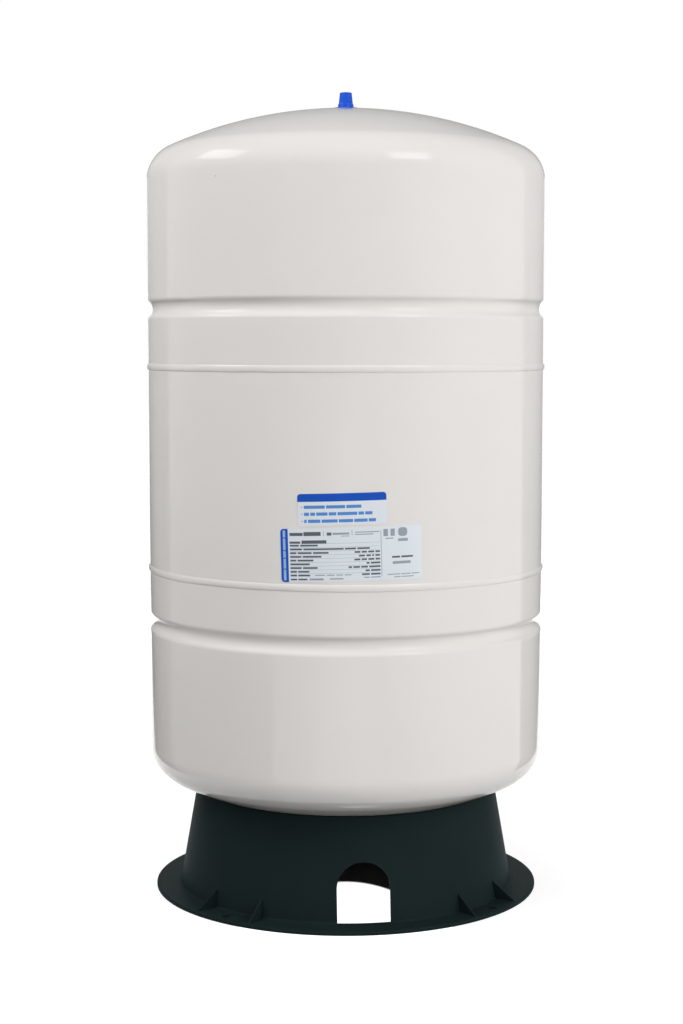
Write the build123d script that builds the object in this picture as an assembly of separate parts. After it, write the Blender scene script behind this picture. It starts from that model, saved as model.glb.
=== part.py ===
from build123d import *

import math
import os

# A reverse osmosis storage tank: a welded steel vessel with a rubber diaphragm
# and a plastic liner inside, standing on a moulded base.
# Millimetres, +Z up, the floor at z = 0 and the vessel's axis on Z.
# The side with the labels faces -Y. An azimuth is counted from -Y towards +X.

# Steel vessel: two like domes and a rolled course between them
VESSEL_DIAMETER = 395.0
SHEET = 1.6
CROWN_RADIUS = 430.0
KNUCKLE_RADIUS = 35.0
DOME_SIDE = 181.5
COURSE_LENGTH = 200.0
CROWN_HEIGHT = 76.3
LOWER_LAND_RADIUS = 34.0
UPPER_LAND_RADIUS = 14.0

# Rolled groove near the rim of each dome
GROOVE_TO_WELD = 55.0
GROOVE_WIDTH = 21.0
GROOVE_DEPTH = 4.5
GROOVE_SHOULDER = 5.0
GROOVE_ROOT = 4.5

# Weld beads
WELD_GAP = 2.0
WELD_WIDTH = 6.0
WELD_HEIGHT = 1.1
WELD_SEAT = 0.05
SEAM_GAP = 1.2
SEAM_WIDTH = 5.0
SEAM_HEIGHT = 0.9
SEAM_AZIMUTH = 180.0

# Liner, diaphragm and the hoop that holds their rims in the lower groove
FIT = 0.15
LINER = 1.5
DIAPHRAGM = 2.0
RIM_BEAD = 2.5
RIM_OVERLAP = 2.0
LINER_RIM_GAP = 0.5
CLENCH_SHEET = 2.0
CLENCH_HEIGHT = 14.0
DRAPE_RADIUS = 48.0

# Water connection, a turned nipple with a one inch pipe thread
NIPPLE_RADIUS = 16.62
NIPPLE_LENGTH = 20.0
NIPPLE_CHAMFER = 1.5
RELIEF_LENGTH = 1.5
RELIEF_DEPTH = 1.2
WATER_BORE_RADIUS = 12.5
SHANK_RADIUS = 18.0
SHANK_CLEARANCE = 0.3
INNER_FLANGE_RADIUS = 30.0
INNER_FLANGE = 4.0
FLOW_SLOT_WIDTH = 5.0
FLOW_SLOT_DEPTH = 1.5
SEAL_RADIUS = 23.5
SEAL_WIDTH = 3.6
SEAL_GROOVE_DEPTH = 2.4
SEAL_SLACK = 0.2
NUT_ACROSS_FLATS = 46.0
NUT_HEIGHT = 7.0
THREAD_CLEARANCE = 0.06

# Air valve: a brass stem screwed into a welded boss
VALVE_HOLE_RADIUS = 4.5
BOSS_RADIUS = 9.0
BOSS_HEIGHT = 9.0
SCREW_RADIUS = 4.0
STEM_TAIL = 2.0
GASKET_RADIUS = 6.0
GASKET = 1.0
HEX_ACROSS_FLATS = 11.0
HEX_HEIGHT = 2.0
STEM_RADIUS = 3.85
STEM_LENGTH = 11.0
STEM_CHAMFER = 0.6

# Valve core inside the stem
CORE_THREAD_RADIUS = 2.5
CORE_THREAD_LENGTH = 5.0
CORE_BARREL_RADIUS = 1.7
CORE_LENGTH = 15.4
CORE_DEPTH = 0.6
CORE_CLEARANCE = 0.1
BARREL_CLEARANCE = 0.25
PIN_RADIUS = 0.6
PIN_CLEARANCE = 0.08
PIN_TAIL = 3.0
PIN_COLLAR_RADIUS = 1.45
PIN_COLLAR = 0.6
PIN_COLLAR_DEPTH = 0.4
SPRING_WELL_RADIUS = 1.6
SPRING_WELL_DEPTH = 10.4
SPRING_WIRE_RADIUS = 0.18
SPRING_RADIUS = 1.15
SPRING_TURNS = 7
CORE_SEAL_RADIUS = 1.6
CORE_SEAL = 1.5
CORE_SEAL_GAP = 0.02

# Blue valve cap
CAP_FLANGE_RADIUS = 13.6
CAP_FLANGE = 2.2
CAP_HEIGHT = 17.4
CAP_BASE_RADIUS = 8.0
CAP_TOP_RADIUS = 6.4
CAP_EDGE = 1.2
CAP_LIFT = 0.3
CAP_FLATS = 8
CAP_FLAT_DEPTH = 0.42
CAP_FLAT_START = 6.0
CAP_RECESS_WALL = 1.15
CAP_RECESS_CLEARANCE = 0.4
CAP_THREAD_LENGTH = 6.0
CAP_THREAD_CLEARANCE = 0.08
CAP_BORE_RELIEF = 0.5
CAP_SEAL = 1.4
CAP_SEAL_GAP = 0.04
CAP_SEAL_SIDE_GAP = 0.1

# Moulded stand
STAND_WALL = 3.5
STAND_FLANGE_RADIUS = 193.0
STAND_FLANGE = 3.8
FLANGE_WIDTH = 24.5
FLANGE_LIP = 1.4
FLANGE_EDGE = 0.8
SKIRT_LEAN = 17.0
FOOT_STEP_WIDTH = 0.8
FOOT_STEP_HEIGHT = 0.5
FOOT_FILLET = 1.4
RIM_EDGE = 1.5
SEAT_WIDTH = 9.0
SEAT_THICKNESS = 4.0
SEAT_FIT = 0.2
ARCH_AZIMUTH = 6.0
ARCH_WIDTH = 51.0
ARCH_TOP = 60.5
INNER_RIBS = 8
INNER_RIB = 2.5
INNER_RIB_REACH = 24.0
INNER_RIB_HEIGHT = 40.0
INNER_RIB_TIP = 12.0

# Floor fixings and the gussets beside them
FIXING_HOLES = 4
FIXING_INSET = 11.0
FIXING_HOLE_RADIUS = 4.5
GUSSET_SPREAD = 10.0
GUSSET = 2.0
GUSSET_HEIGHT = 17.2
GUSSET_EDGE = 3.2

# Studs welded under the lower dome hold the stand
STUD_INSET = 23.5
STUD_RADIUS = 3.0
STUD_LENGTH = 25.0
STUD_FOOT_RADIUS = 4.5
STUD_FOOT = 1.2
STUD_HOLE_CLEARANCE = 0.4
LUG_WIDTH = 24.0
LUG = 4.0
LUG_DROP = 14.0
LUG_END = 10.0
LUG_CHEEK = 3.0
PUSH_NUT_RADIUS = 8.0
PUSH_NUT = 0.8
PUSH_NUT_GRIP = 0.02

# Printed film labels
FILM = 0.15
FILM_GAP = 0.3
LABEL_CORNER = 3.0
LABEL_TILT = 1.6
RATING_WIDTH = 131.5
RATING_HEIGHT = 49.0
RATING_AZIMUTH = 1.6
RATING_ABOVE_WELD = 29.7
NOTICE_WIDTH = 81.8
NOTICE_HEIGHT = 29.5
NOTICE_AZIMUTH = -1.0
NOTICE_ABOVE_WELD = 71.0

# Sizes and heights that follow from the values above
VESSEL_RADIUS = VESSEL_DIAMETER / 2
DOME_RISE = CROWN_RADIUS - math.sqrt(
    (CROWN_RADIUS - KNUCKLE_RADIUS) ** 2 - (VESSEL_RADIUS - KNUCKLE_RADIUS) ** 2
)
DOME_HEIGHT = DOME_RISE + DOME_SIDE
GROOVE_HEIGHT = DOME_HEIGHT - GROOVE_TO_WELD
LOWER_WELD_Z = CROWN_HEIGHT + DOME_HEIGHT
UPPER_WELD_Z = LOWER_WELD_Z + COURSE_LENGTH
TOP_Z = UPPER_WELD_Z + DOME_HEIGHT


def sphere_sag(radius):
    """How far the crown has curved away from its apex at a radius."""
    return CROWN_RADIUS - math.sqrt(CROWN_RADIUS ** 2 - radius ** 2)


LOWER_LAND_Z = CROWN_HEIGHT + sphere_sag(LOWER_LAND_RADIUS)
UPPER_LAND_Z = TOP_Z - sphere_sag(UPPER_LAND_RADIUS)
LINER_OFFSET = SHEET + FIT
DIAPHRAGM_OFFSET = LINER_OFFSET + LINER + FIT
CLENCH_OFFSET = LINER_OFFSET + RIM_BEAD + FIT
INNER_FLANGE_Z = LOWER_LAND_Z + LINER_OFFSET + LINER + FIT
INNER_FLANGE_TOP = INNER_FLANGE_Z + INNER_FLANGE
NUT_BOTTOM_Z = LOWER_LAND_Z - WELD_SEAT - NUT_HEIGHT
NIPPLE_TOP_Z = NUT_BOTTOM_Z - RELIEF_LENGTH
NIPPLE_END_Z = NIPPLE_TOP_Z - NIPPLE_LENGTH
BOSS_TOP_Z = UPPER_LAND_Z - SHEET
BOSS_BOTTOM_Z = BOSS_TOP_Z - BOSS_HEIGHT
HEX_Z = UPPER_LAND_Z + GASKET
HEX_TOP_Z = HEX_Z + HEX_HEIGHT
STEM_TOP_Z = HEX_TOP_Z + STEM_LENGTH
STEM_BOTTOM_Z = BOSS_BOTTOM_Z - STEM_TAIL
CORE_TOP_Z = STEM_TOP_Z - CORE_DEPTH
CORE_BOTTOM_Z = CORE_TOP_Z - CORE_LENGTH
CAP_Z = UPPER_LAND_Z + CAP_LIFT
CAP_SEAL_Z = STEM_TOP_Z + CAP_SEAL_GAP
CAP_SEAL_TOP_Z = CAP_SEAL_Z + CAP_SEAL
SKIRT_FOOT_RADIUS = STAND_FLANGE_RADIUS - FLANGE_WIDTH
SKIRT_TOP_RADIUS = SKIRT_FOOT_RADIUS - SKIRT_LEAN
FIXING_CIRCLE_RADIUS = STAND_FLANGE_RADIUS - FIXING_INSET
STUD_CIRCLE_RADIUS = SKIRT_TOP_RADIUS - STUD_INSET
STUD_TOP_Z = CROWN_HEIGHT + sphere_sag(STUD_CIRCLE_RADIUS)
LUG_Z = STUD_TOP_Z - LUG_DROP - LUG
SKIRT_RIM_RADIUS = SKIRT_TOP_RADIUS - RIM_EDGE
STAND_RIM_Z = CROWN_HEIGHT + sphere_sag(SKIRT_RIM_RADIUS) - SEAT_FIT
SKIRT_SLOPE = (SKIRT_FOOT_RADIUS - SKIRT_TOP_RADIUS) / (STAND_RIM_Z - STAND_FLANGE)


def polar(centre, radius, angle):
    """The point at an angle in degrees on a circle in the section plane."""
    turn = math.radians(angle)
    return (centre[0] + radius * math.cos(turn), centre[1] + radius * math.sin(turn))


def arc(centre, radius, start, end):
    """An arc in the section plane between two angles in degrees."""
    middle = (start + end) / 2
    return ThreePointArc(
        polar(centre, radius, start), polar(centre, radius, middle), polar(centre, radius, end)
    )


def link(first, second):
    """A straight edge between the end of one edge and the start of the next."""
    return Line(first @ 1, second @ 0)


def turned(edges):
    """The solid of revolution of a closed section drawn as radius and height."""
    return revolve(Plane.XZ * make_face(edges), Axis.Z)


def turned_polygon(*points):
    """The solid of revolution of a polygon drawn as radius and height."""
    return revolve(Plane.XZ * make_face(Polyline(*points, close=True)), Axis.Z)


def between(inner_path, outer_path):
    """Close the band between two open paths that run the same way."""
    start = Line(outer_path[0] @ 0, inner_path[0] @ 0)
    end = Line(outer_path[-1] @ 1, inner_path[-1] @ 1)
    return [*outer_path, *inner_path, start, end]


def ring(inner_radius, outer_radius, bottom, top):
    """A plain washer or tube."""
    return turned_polygon(
        (inner_radius, bottom), (outer_radius, bottom), (outer_radius, top), (inner_radius, top)
    )


def crown_ball(fit):
    """The ball of the lower dome's crown, grown by a fit, to trim what it rests on."""
    return Pos(0, 0, CROWN_HEIGHT + CROWN_RADIUS) * Sphere(CROWN_RADIUS + fit)


def at_azimuth(azimuth, shape):
    """Turn a shape that lies towards -Y to an azimuth."""
    return Rot(0, 0, azimuth) * shape


# Wall paths of a dome, drawn with its crown at height 0 and its rim on top.
# An offset is the distance inwards from the outside of the sheet.


def groove_flank():
    """The lean of the groove's flanks in degrees, where both arcs share a tangent."""
    half_width = GROOVE_WIDTH / 2
    arcs = GROOVE_SHOULDER + GROOVE_ROOT
    reach = math.hypot(half_width, arcs - GROOVE_DEPTH)
    heading = math.atan2(half_width, arcs - GROOVE_DEPTH)
    return math.degrees(heading - math.acos(arcs / reach))


def land_edges(offset, hole_radius, land_radius):
    """The flat land round a dome's hole, then the crown and the knuckle."""
    land_height = sphere_sag(land_radius)
    crown_centre = (0, CROWN_RADIUS)
    knuckle_centre = (VESSEL_RADIUS - KNUCKLE_RADIUS, DOME_RISE)
    contact = math.degrees(
        math.atan2(DOME_RISE - CROWN_RADIUS, VESSEL_RADIUS - KNUCKLE_RADIUS)
    )
    crown_radius = CROWN_RADIUS - offset
    drop = CROWN_RADIUS - land_height - offset
    land_angle = -math.degrees(math.asin(drop / crown_radius))
    crown = arc(crown_centre, crown_radius, land_angle, contact)
    land = Line((hole_radius, land_height + offset), crown @ 0)
    knuckle = arc(knuckle_centre, KNUCKLE_RADIUS - offset, contact, 0)
    return [land, crown, knuckle]


def groove_edges(offset):
    """The groove from its lower shoulder to its upper one, with no side walls."""
    flank = groove_flank()
    half_width = GROOVE_WIDTH / 2
    shoulder_x = VESSEL_RADIUS - GROOVE_SHOULDER
    root_centre = (VESSEL_RADIUS - GROOVE_DEPTH + GROOVE_ROOT, GROOVE_HEIGHT)
    low_centre = (shoulder_x, GROOVE_HEIGHT - half_width)
    high_centre = (shoulder_x, GROOVE_HEIGHT + half_width)
    low = arc(low_centre, GROOVE_SHOULDER - offset, 0, flank)
    root = arc(root_centre, GROOVE_ROOT + offset, 180 + flank, 180 - flank)
    high = arc(high_centre, GROOVE_SHOULDER - offset, -flank, 0)
    return [low, link(low, root), root, link(root, high), high]


def dome_edges(offset, hole_radius, land_radius):
    """The whole wall of a dome from its hole to its rim."""
    bowl = land_edges(offset, hole_radius, land_radius)
    groove = groove_edges(offset)
    rim_height = DOME_HEIGHT - WELD_GAP / 2
    rim = Line(groove[-1] @ 1, (VESSEL_RADIUS - offset, rim_height))
    return [*bowl, link(bowl[-1], groove[0]), *groove, rim]


def dome(hole_radius, land_radius):
    """A pressed dome with its crown at height 0 and its open rim on top."""
    outside = dome_edges(0, hole_radius, land_radius)
    inside = dome_edges(SHEET, hole_radius, land_radius)
    return turned(between(inside, outside))


def lower_dome():
    return Pos(0, 0, CROWN_HEIGHT) * dome(SHANK_RADIUS + SHANK_CLEARANCE, LOWER_LAND_RADIUS)


def upper_dome():
    return Pos(0, 0, TOP_Z) * Rot(180, 0, 0) * dome(VALVE_HOLE_RADIUS, UPPER_LAND_RADIUS)


def shell_course():
    """The rolled course, open along its seam."""
    bottom = LOWER_WELD_Z + WELD_GAP / 2
    top = UPPER_WELD_Z - WELD_GAP / 2
    tube = ring(VESSEL_RADIUS - SHEET, VESSEL_RADIUS, bottom, top)
    slot = Pos(0, -VESSEL_RADIUS, (bottom + top) / 2) * Box(SEAM_GAP, 4 * SHEET, COURSE_LENGTH)
    return tube - at_azimuth(SEAM_AZIMUTH, slot)


# Weld beads: a root that fills the gap, and a cap that stands proud


def bead_face(root_inside, seat, gap, width, height):
    """Section of a bead across its joint, drawn as (distance outwards, place across)."""
    shoulder = Polyline(
        (seat, -width / 2),
        (seat, -gap / 2),
        (root_inside, -gap / 2),
        (root_inside, gap / 2),
        (seat, gap / 2),
        (seat, width / 2),
    )
    crown = ThreePointArc((seat, width / 2), (seat - WELD_SEAT + height, 0), (seat, -width / 2))
    return make_face([*shoulder.edges(), crown])


def girth_weld(height):
    section = bead_face(
        VESSEL_RADIUS - SHEET, VESSEL_RADIUS + WELD_SEAT, WELD_GAP, WELD_WIDTH, WELD_HEIGHT
    )
    return Pos(0, 0, height) * revolve(Plane.XZ * section, Axis.Z)


def seam_weld():
    """The course's seam: its root is as long as the course, its cap stops short of the beads."""
    root_length = COURSE_LENGTH - WELD_GAP
    cap_length = COURSE_LENGTH - WELD_WIDTH - 2 * FIT
    middle = (LOWER_WELD_Z + UPPER_WELD_Z) / 2
    inside = VESSEL_RADIUS - SHEET
    seat = VESSEL_RADIUS + WELD_SEAT
    root_face = Pos(-(inside + seat) / 2, 0) * Rectangle(seat - inside, SEAM_GAP)
    cap_face = bead_face(inside, seat, SEAM_GAP, SEAM_WIDTH, SEAM_HEIGHT)
    root = extrude(root_face, root_length / 2, both=True)
    cap = extrude(Rot(0, 0, 180) * cap_face, cap_length / 2, both=True)
    return Pos(0, 0, middle) * at_azimuth(SEAM_AZIMUTH, Rot(0, 0, 90) * (root + cap))


# Water side: liner, diaphragm and the hoop in the lower groove


def liner():
    """The plastic bowl that lines the lower dome up to the groove."""
    top = GROOVE_HEIGHT - GROOVE_WIDTH / 2 - RIM_OVERLAP - LINER_RIM_GAP
    paths = []
    for offset in (LINER_OFFSET + LINER, LINER_OFFSET):
        bowl = land_edges(offset, SHANK_RADIUS + SHANK_CLEARANCE, LOWER_LAND_RADIUS)
        side = Line(bowl[-1] @ 1, (VESSEL_RADIUS - offset, top))
        paths.append([*bowl, side])
    return Pos(0, 0, CROWN_HEIGHT) * turned(between(*paths))


def draped_edges(offset, rise):
    """The diaphragm's lie over the inner flange and down onto the liner."""
    flat_height = INNER_FLANGE_TOP + FIT + rise - CROWN_HEIGHT
    bowl = land_edges(offset, 0, DRAPE_RADIUS)
    flat_end = INNER_FLANGE_RADIUS + DIAPHRAGM + rise / 2
    flat = Line((0, flat_height), (flat_end, flat_height))
    slope = Line((flat_end, flat_height), bowl[1] @ 0)
    top = GROOVE_HEIGHT - GROOVE_WIDTH / 2
    side = Line(bowl[-1] @ 1, (VESSEL_RADIUS - offset, top))
    return [flat, slope, bowl[1], bowl[2], side]


def rim_edges(offset):
    """The diaphragm's thick rim in the groove, with a short lip on either side."""
    groove = groove_edges(offset)
    radius = VESSEL_RADIUS - offset
    lip = GROOVE_WIDTH / 2 + RIM_OVERLAP
    low = Line((radius, GROOVE_HEIGHT - lip), groove[0] @ 0)
    high = Line(groove[-1] @ 1, (radius, GROOVE_HEIGHT + lip))
    return [low, *groove, high]


def diaphragm():
    """The rubber diaphragm of an empty tank, pressed onto the liner by the air."""
    inside = draped_edges(DIAPHRAGM_OFFSET + DIAPHRAGM, DIAPHRAGM)
    outside = draped_edges(DIAPHRAGM_OFFSET, 0)
    bag = turned(between(inside, outside))
    rim = turned(between(rim_edges(LINER_OFFSET + RIM_BEAD), rim_edges(LINER_OFFSET)))
    return Pos(0, 0, CROWN_HEIGHT) * (bag + rim)


def clench_edges(offset):
    """The hoop's wall: the groove's root and part of each flank."""
    flank = groove_flank()
    turn = math.radians(flank)
    root_centre = (VESSEL_RADIUS - GROOVE_DEPTH + GROOVE_ROOT, GROOVE_HEIGHT)
    root_radius = GROOVE_ROOT + offset
    root = arc(root_centre, root_radius, 180 + flank, 180 - flank)
    rise = CLENCH_HEIGHT / 2 - root_radius * math.sin(turn)
    reach = (root @ 1).X + rise * math.tan(turn)
    low = Line((reach, GROOVE_HEIGHT - CLENCH_HEIGHT / 2), root @ 0)
    high = Line(root @ 1, (reach, GROOVE_HEIGHT + CLENCH_HEIGHT / 2))
    return [low, root, high]


def clench_ring():
    """The rolled steel hoop that clamps the diaphragm's rim against the groove."""
    band = between(clench_edges(CLENCH_OFFSET + CLENCH_SHEET), clench_edges(CLENCH_OFFSET))
    return Pos(0, 0, CROWN_HEIGHT) * turned(band)


# Water connection under the lower dome


def water_connection():
    """The turned nipple: inner flange with a seal groove, shank, relief and pipe thread."""
    body = turned_polygon(
        (WATER_BORE_RADIUS, INNER_FLANGE_TOP),
        (INNER_FLANGE_RADIUS, INNER_FLANGE_TOP),
        (INNER_FLANGE_RADIUS, INNER_FLANGE_Z),
        (SHANK_RADIUS, INNER_FLANGE_Z),
        (SHANK_RADIUS, NUT_BOTTOM_Z - FIT),
        (NIPPLE_RADIUS - RELIEF_DEPTH, NUT_BOTTOM_Z - FIT),
        (NIPPLE_RADIUS - RELIEF_DEPTH, NIPPLE_TOP_Z),
        (NIPPLE_RADIUS, NIPPLE_TOP_Z),
        (NIPPLE_RADIUS, NIPPLE_END_Z + NIPPLE_CHAMFER),
        (NIPPLE_RADIUS - NIPPLE_CHAMFER, NIPPLE_END_Z),
        (WATER_BORE_RADIUS, NIPPLE_END_Z),
    )
    groove = ring(
        SEAL_RADIUS - SEAL_WIDTH / 2 - SEAL_SLACK,
        SEAL_RADIUS + SEAL_WIDTH / 2 + SEAL_SLACK,
        INNER_FLANGE_Z,
        INNER_FLANGE_Z + SEAL_GROOVE_DEPTH,
    )
    slot = Pos(0, 0, INNER_FLANGE_TOP) * Box(
        2 * INNER_FLANGE_RADIUS, FLOW_SLOT_WIDTH, 2 * FLOW_SLOT_DEPTH
    )
    return body - groove - slot - Rot(0, 0, 90) * slot


def connection_seal():
    """The ring seal, squeezed between the flange's groove and the liner."""
    bottom = INNER_FLANGE_Z - FIT
    height = SEAL_GROOVE_DEPTH + FIT - CORE_SEAL_GAP
    section = Pos(SEAL_RADIUS, bottom + height / 2) * RectangleRounded(
        SEAL_WIDTH, height, height * 0.4
    )
    return revolve(Plane.XZ * section, Axis.Z)


def connection_nut():
    """The hexagon nut that clamps the nipple from below the dome."""
    hexagon = RegularPolygon(NUT_ACROSS_FLATS / 2, 6, major_radius=False)
    nut = extrude(hexagon - Circle(SHANK_RADIUS + THREAD_CLEARANCE), NUT_HEIGHT)
    return Pos(0, 0, NUT_BOTTOM_Z) * nut


# Air valve on top of the upper dome


def valve_boss():
    """The round boss welded under the upper dome, which takes the stem's screw."""
    return ring(SCREW_RADIUS + THREAD_CLEARANCE, BOSS_RADIUS, BOSS_BOTTOM_Z, BOSS_TOP_Z)


def stem_gasket():
    return ring(SCREW_RADIUS + FIT, GASKET_RADIUS, UPPER_LAND_Z, HEX_Z)


def valve_stem():
    """The brass stem: screw, hexagon and cap thread round a stepped bore."""
    screw = Pos(0, 0, STEM_BOTTOM_Z) * extrude(Circle(SCREW_RADIUS), HEX_Z - STEM_BOTTOM_Z)
    hexagon = Pos(0, 0, HEX_Z) * extrude(
        RegularPolygon(HEX_ACROSS_FLATS / 2, 6, major_radius=False), HEX_HEIGHT
    )
    neck = turned_polygon(
        (0, HEX_TOP_Z),
        (STEM_RADIUS, HEX_TOP_Z),
        (STEM_RADIUS, STEM_TOP_Z - STEM_CHAMFER),
        (STEM_RADIUS - STEM_CHAMFER, STEM_TOP_Z),
        (0, STEM_TOP_Z),
    )
    thread_bottom = CORE_TOP_Z - CORE_THREAD_LENGTH - FIT
    wide = CORE_THREAD_RADIUS + CORE_CLEARANCE
    narrow = CORE_BARREL_RADIUS + BARREL_CLEARANCE
    bore = turned_polygon(
        (0, STEM_BOTTOM_Z),
        (narrow, STEM_BOTTOM_Z),
        (narrow, thread_bottom - (wide - narrow)),
        (wide, thread_bottom),
        (wide, STEM_TOP_Z),
        (0, STEM_TOP_Z),
    )
    return screw + hexagon + neck - bore


def core_body():
    """The valve core's screwed body, with a well for the spring and a hole for the pin."""
    shoulder = CORE_TOP_Z - CORE_THREAD_LENGTH
    taper = CORE_THREAD_RADIUS - CORE_BARREL_RADIUS
    pin_hole = PIN_RADIUS + PIN_CLEARANCE
    well = CORE_TOP_Z - SPRING_WELL_DEPTH
    return turned_polygon(
        (pin_hole, CORE_BOTTOM_Z),
        (CORE_BARREL_RADIUS, CORE_BOTTOM_Z),
        (CORE_BARREL_RADIUS, shoulder - taper),
        (CORE_THREAD_RADIUS, shoulder),
        (CORE_THREAD_RADIUS, CORE_TOP_Z),
        (SPRING_WELL_RADIUS, CORE_TOP_Z),
        (SPRING_WELL_RADIUS, shoulder),
        (CORE_BARREL_RADIUS - 2 * FIT, shoulder - taper),
        (CORE_BARREL_RADIUS - 2 * FIT, well),
        (pin_hole, well),
    )


def core_pin():
    """The pin that opens the valve when it is pressed, with a collar under its head."""
    collar_top = CORE_TOP_Z - PIN_COLLAR_DEPTH
    seal_bottom = CORE_BOTTOM_Z - CORE_SEAL_GAP - CORE_SEAL
    return turned_polygon(
        (0, seal_bottom - PIN_TAIL),
        (PIN_RADIUS, seal_bottom - PIN_TAIL),
        (PIN_RADIUS, seal_bottom - PIN_COLLAR),
        (CORE_SEAL_RADIUS, seal_bottom - PIN_COLLAR),
        (CORE_SEAL_RADIUS, seal_bottom),
        (PIN_RADIUS, seal_bottom),
        (PIN_RADIUS, collar_top - PIN_COLLAR),
        (PIN_COLLAR_RADIUS, collar_top - PIN_COLLAR),
        (PIN_COLLAR_RADIUS, collar_top),
        (PIN_RADIUS, collar_top),
        (PIN_RADIUS, CORE_TOP_Z),
        (0, CORE_TOP_Z),
    )


def core_seal():
    """The rubber ring on the pin that closes the lower end of the core."""
    top = CORE_BOTTOM_Z - CORE_SEAL_GAP
    return ring(PIN_RADIUS, CORE_SEAL_RADIUS, top - CORE_SEAL, top)


def core_spring():
    """The spring that lifts the pin, between the well's floor and the pin's collar."""
    bottom = CORE_TOP_Z - SPRING_WELL_DEPTH + SPRING_WIRE_RADIUS
    top = CORE_TOP_Z - PIN_COLLAR_DEPTH - PIN_COLLAR - SPRING_WIRE_RADIUS
    height = top - bottom
    path = Helix(height / SPRING_TURNS, height, SPRING_RADIUS)
    wire_end = Plane(origin=path @ 0, z_dir=path % 0)
    return Pos(0, 0, bottom) * sweep(wire_end * Circle(SPRING_WIRE_RADIUS), path)


def valve_cap():
    """The moulded cap: a thin disc under a tapered body with flats round it."""
    top = CAP_Z + CAP_HEIGHT
    disc_top = CAP_Z + CAP_FLANGE
    edge_centre = (CAP_TOP_RADIUS - CAP_EDGE, top - CAP_EDGE)
    lean = math.degrees(math.atan2(CAP_BASE_RADIUS - CAP_TOP_RADIUS, CAP_HEIGHT - CAP_FLANGE))
    edge = arc(edge_centre, CAP_EDGE, lean, 90)
    outline = Polyline(
        (0, CAP_Z),
        (CAP_FLANGE_RADIUS, CAP_Z),
        (CAP_FLANGE_RADIUS, disc_top),
        (CAP_BASE_RADIUS, disc_top),
        edge @ 0,
    )
    crown = Polyline(edge @ 1, (0, top), (0, CAP_Z))
    body = turned([*outline.edges(), edge, *crown.edges()])
    return body - cap_flats(lean) - cap_hollow()


def cap_flats(lean):
    """Slabs that cut the flats from the cap's upper body, leaning with its taper."""
    flat_height = CAP_HEIGHT - CAP_FLAT_START
    share = CAP_FLAT_START / CAP_HEIGHT
    radius = CAP_BASE_RADIUS + (CAP_TOP_RADIUS - CAP_BASE_RADIUS) * share - CAP_FLAT_DEPTH
    slab = Pos(0, -CAP_EDGE, flat_height) * Box(CAP_BASE_RADIUS, 2 * CAP_EDGE, 2 * flat_height)
    leaning = Pos(0, -radius, CAP_Z + CAP_FLAT_START) * Rot(-lean, 0, 0) * slab
    return [at_azimuth(360 * count / CAP_FLATS, leaning) for count in range(CAP_FLATS)]


def cap_hollow():
    """The cap's bore: a recess over the hexagon, a relief, the thread and the seal's pocket."""
    recess_radius = CAP_BASE_RADIUS - CAP_RECESS_WALL
    recess_top = HEX_TOP_Z + CAP_RECESS_CLEARANCE
    thread_radius = STEM_RADIUS + CAP_THREAD_CLEARANCE
    thread_bottom = CAP_SEAL_Z - CAP_THREAD_LENGTH
    return turned_polygon(
        (0, CAP_Z),
        (recess_radius, CAP_Z),
        (recess_radius, recess_top),
        (thread_radius + CAP_BORE_RELIEF, recess_top),
        (thread_radius + CAP_BORE_RELIEF, thread_bottom - CAP_BORE_RELIEF),
        (thread_radius, thread_bottom),
        (thread_radius, CAP_SEAL_TOP_Z),
        (0, CAP_SEAL_TOP_Z),
    )


def cap_seal():
    """The rubber disc in the cap that presses on the stem's end."""
    radius = STEM_RADIUS + CAP_THREAD_CLEARANCE - CAP_SEAL_SIDE_GAP
    return Pos(0, 0, CAP_SEAL_Z) * extrude(Circle(radius), CAP_SEAL)


# Moulded stand


def skirt_radius(height):
    """Outside radius of the stand's skirt at a height."""
    return SKIRT_TOP_RADIUS + (STAND_RIM_Z - height) * SKIRT_SLOPE


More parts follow.
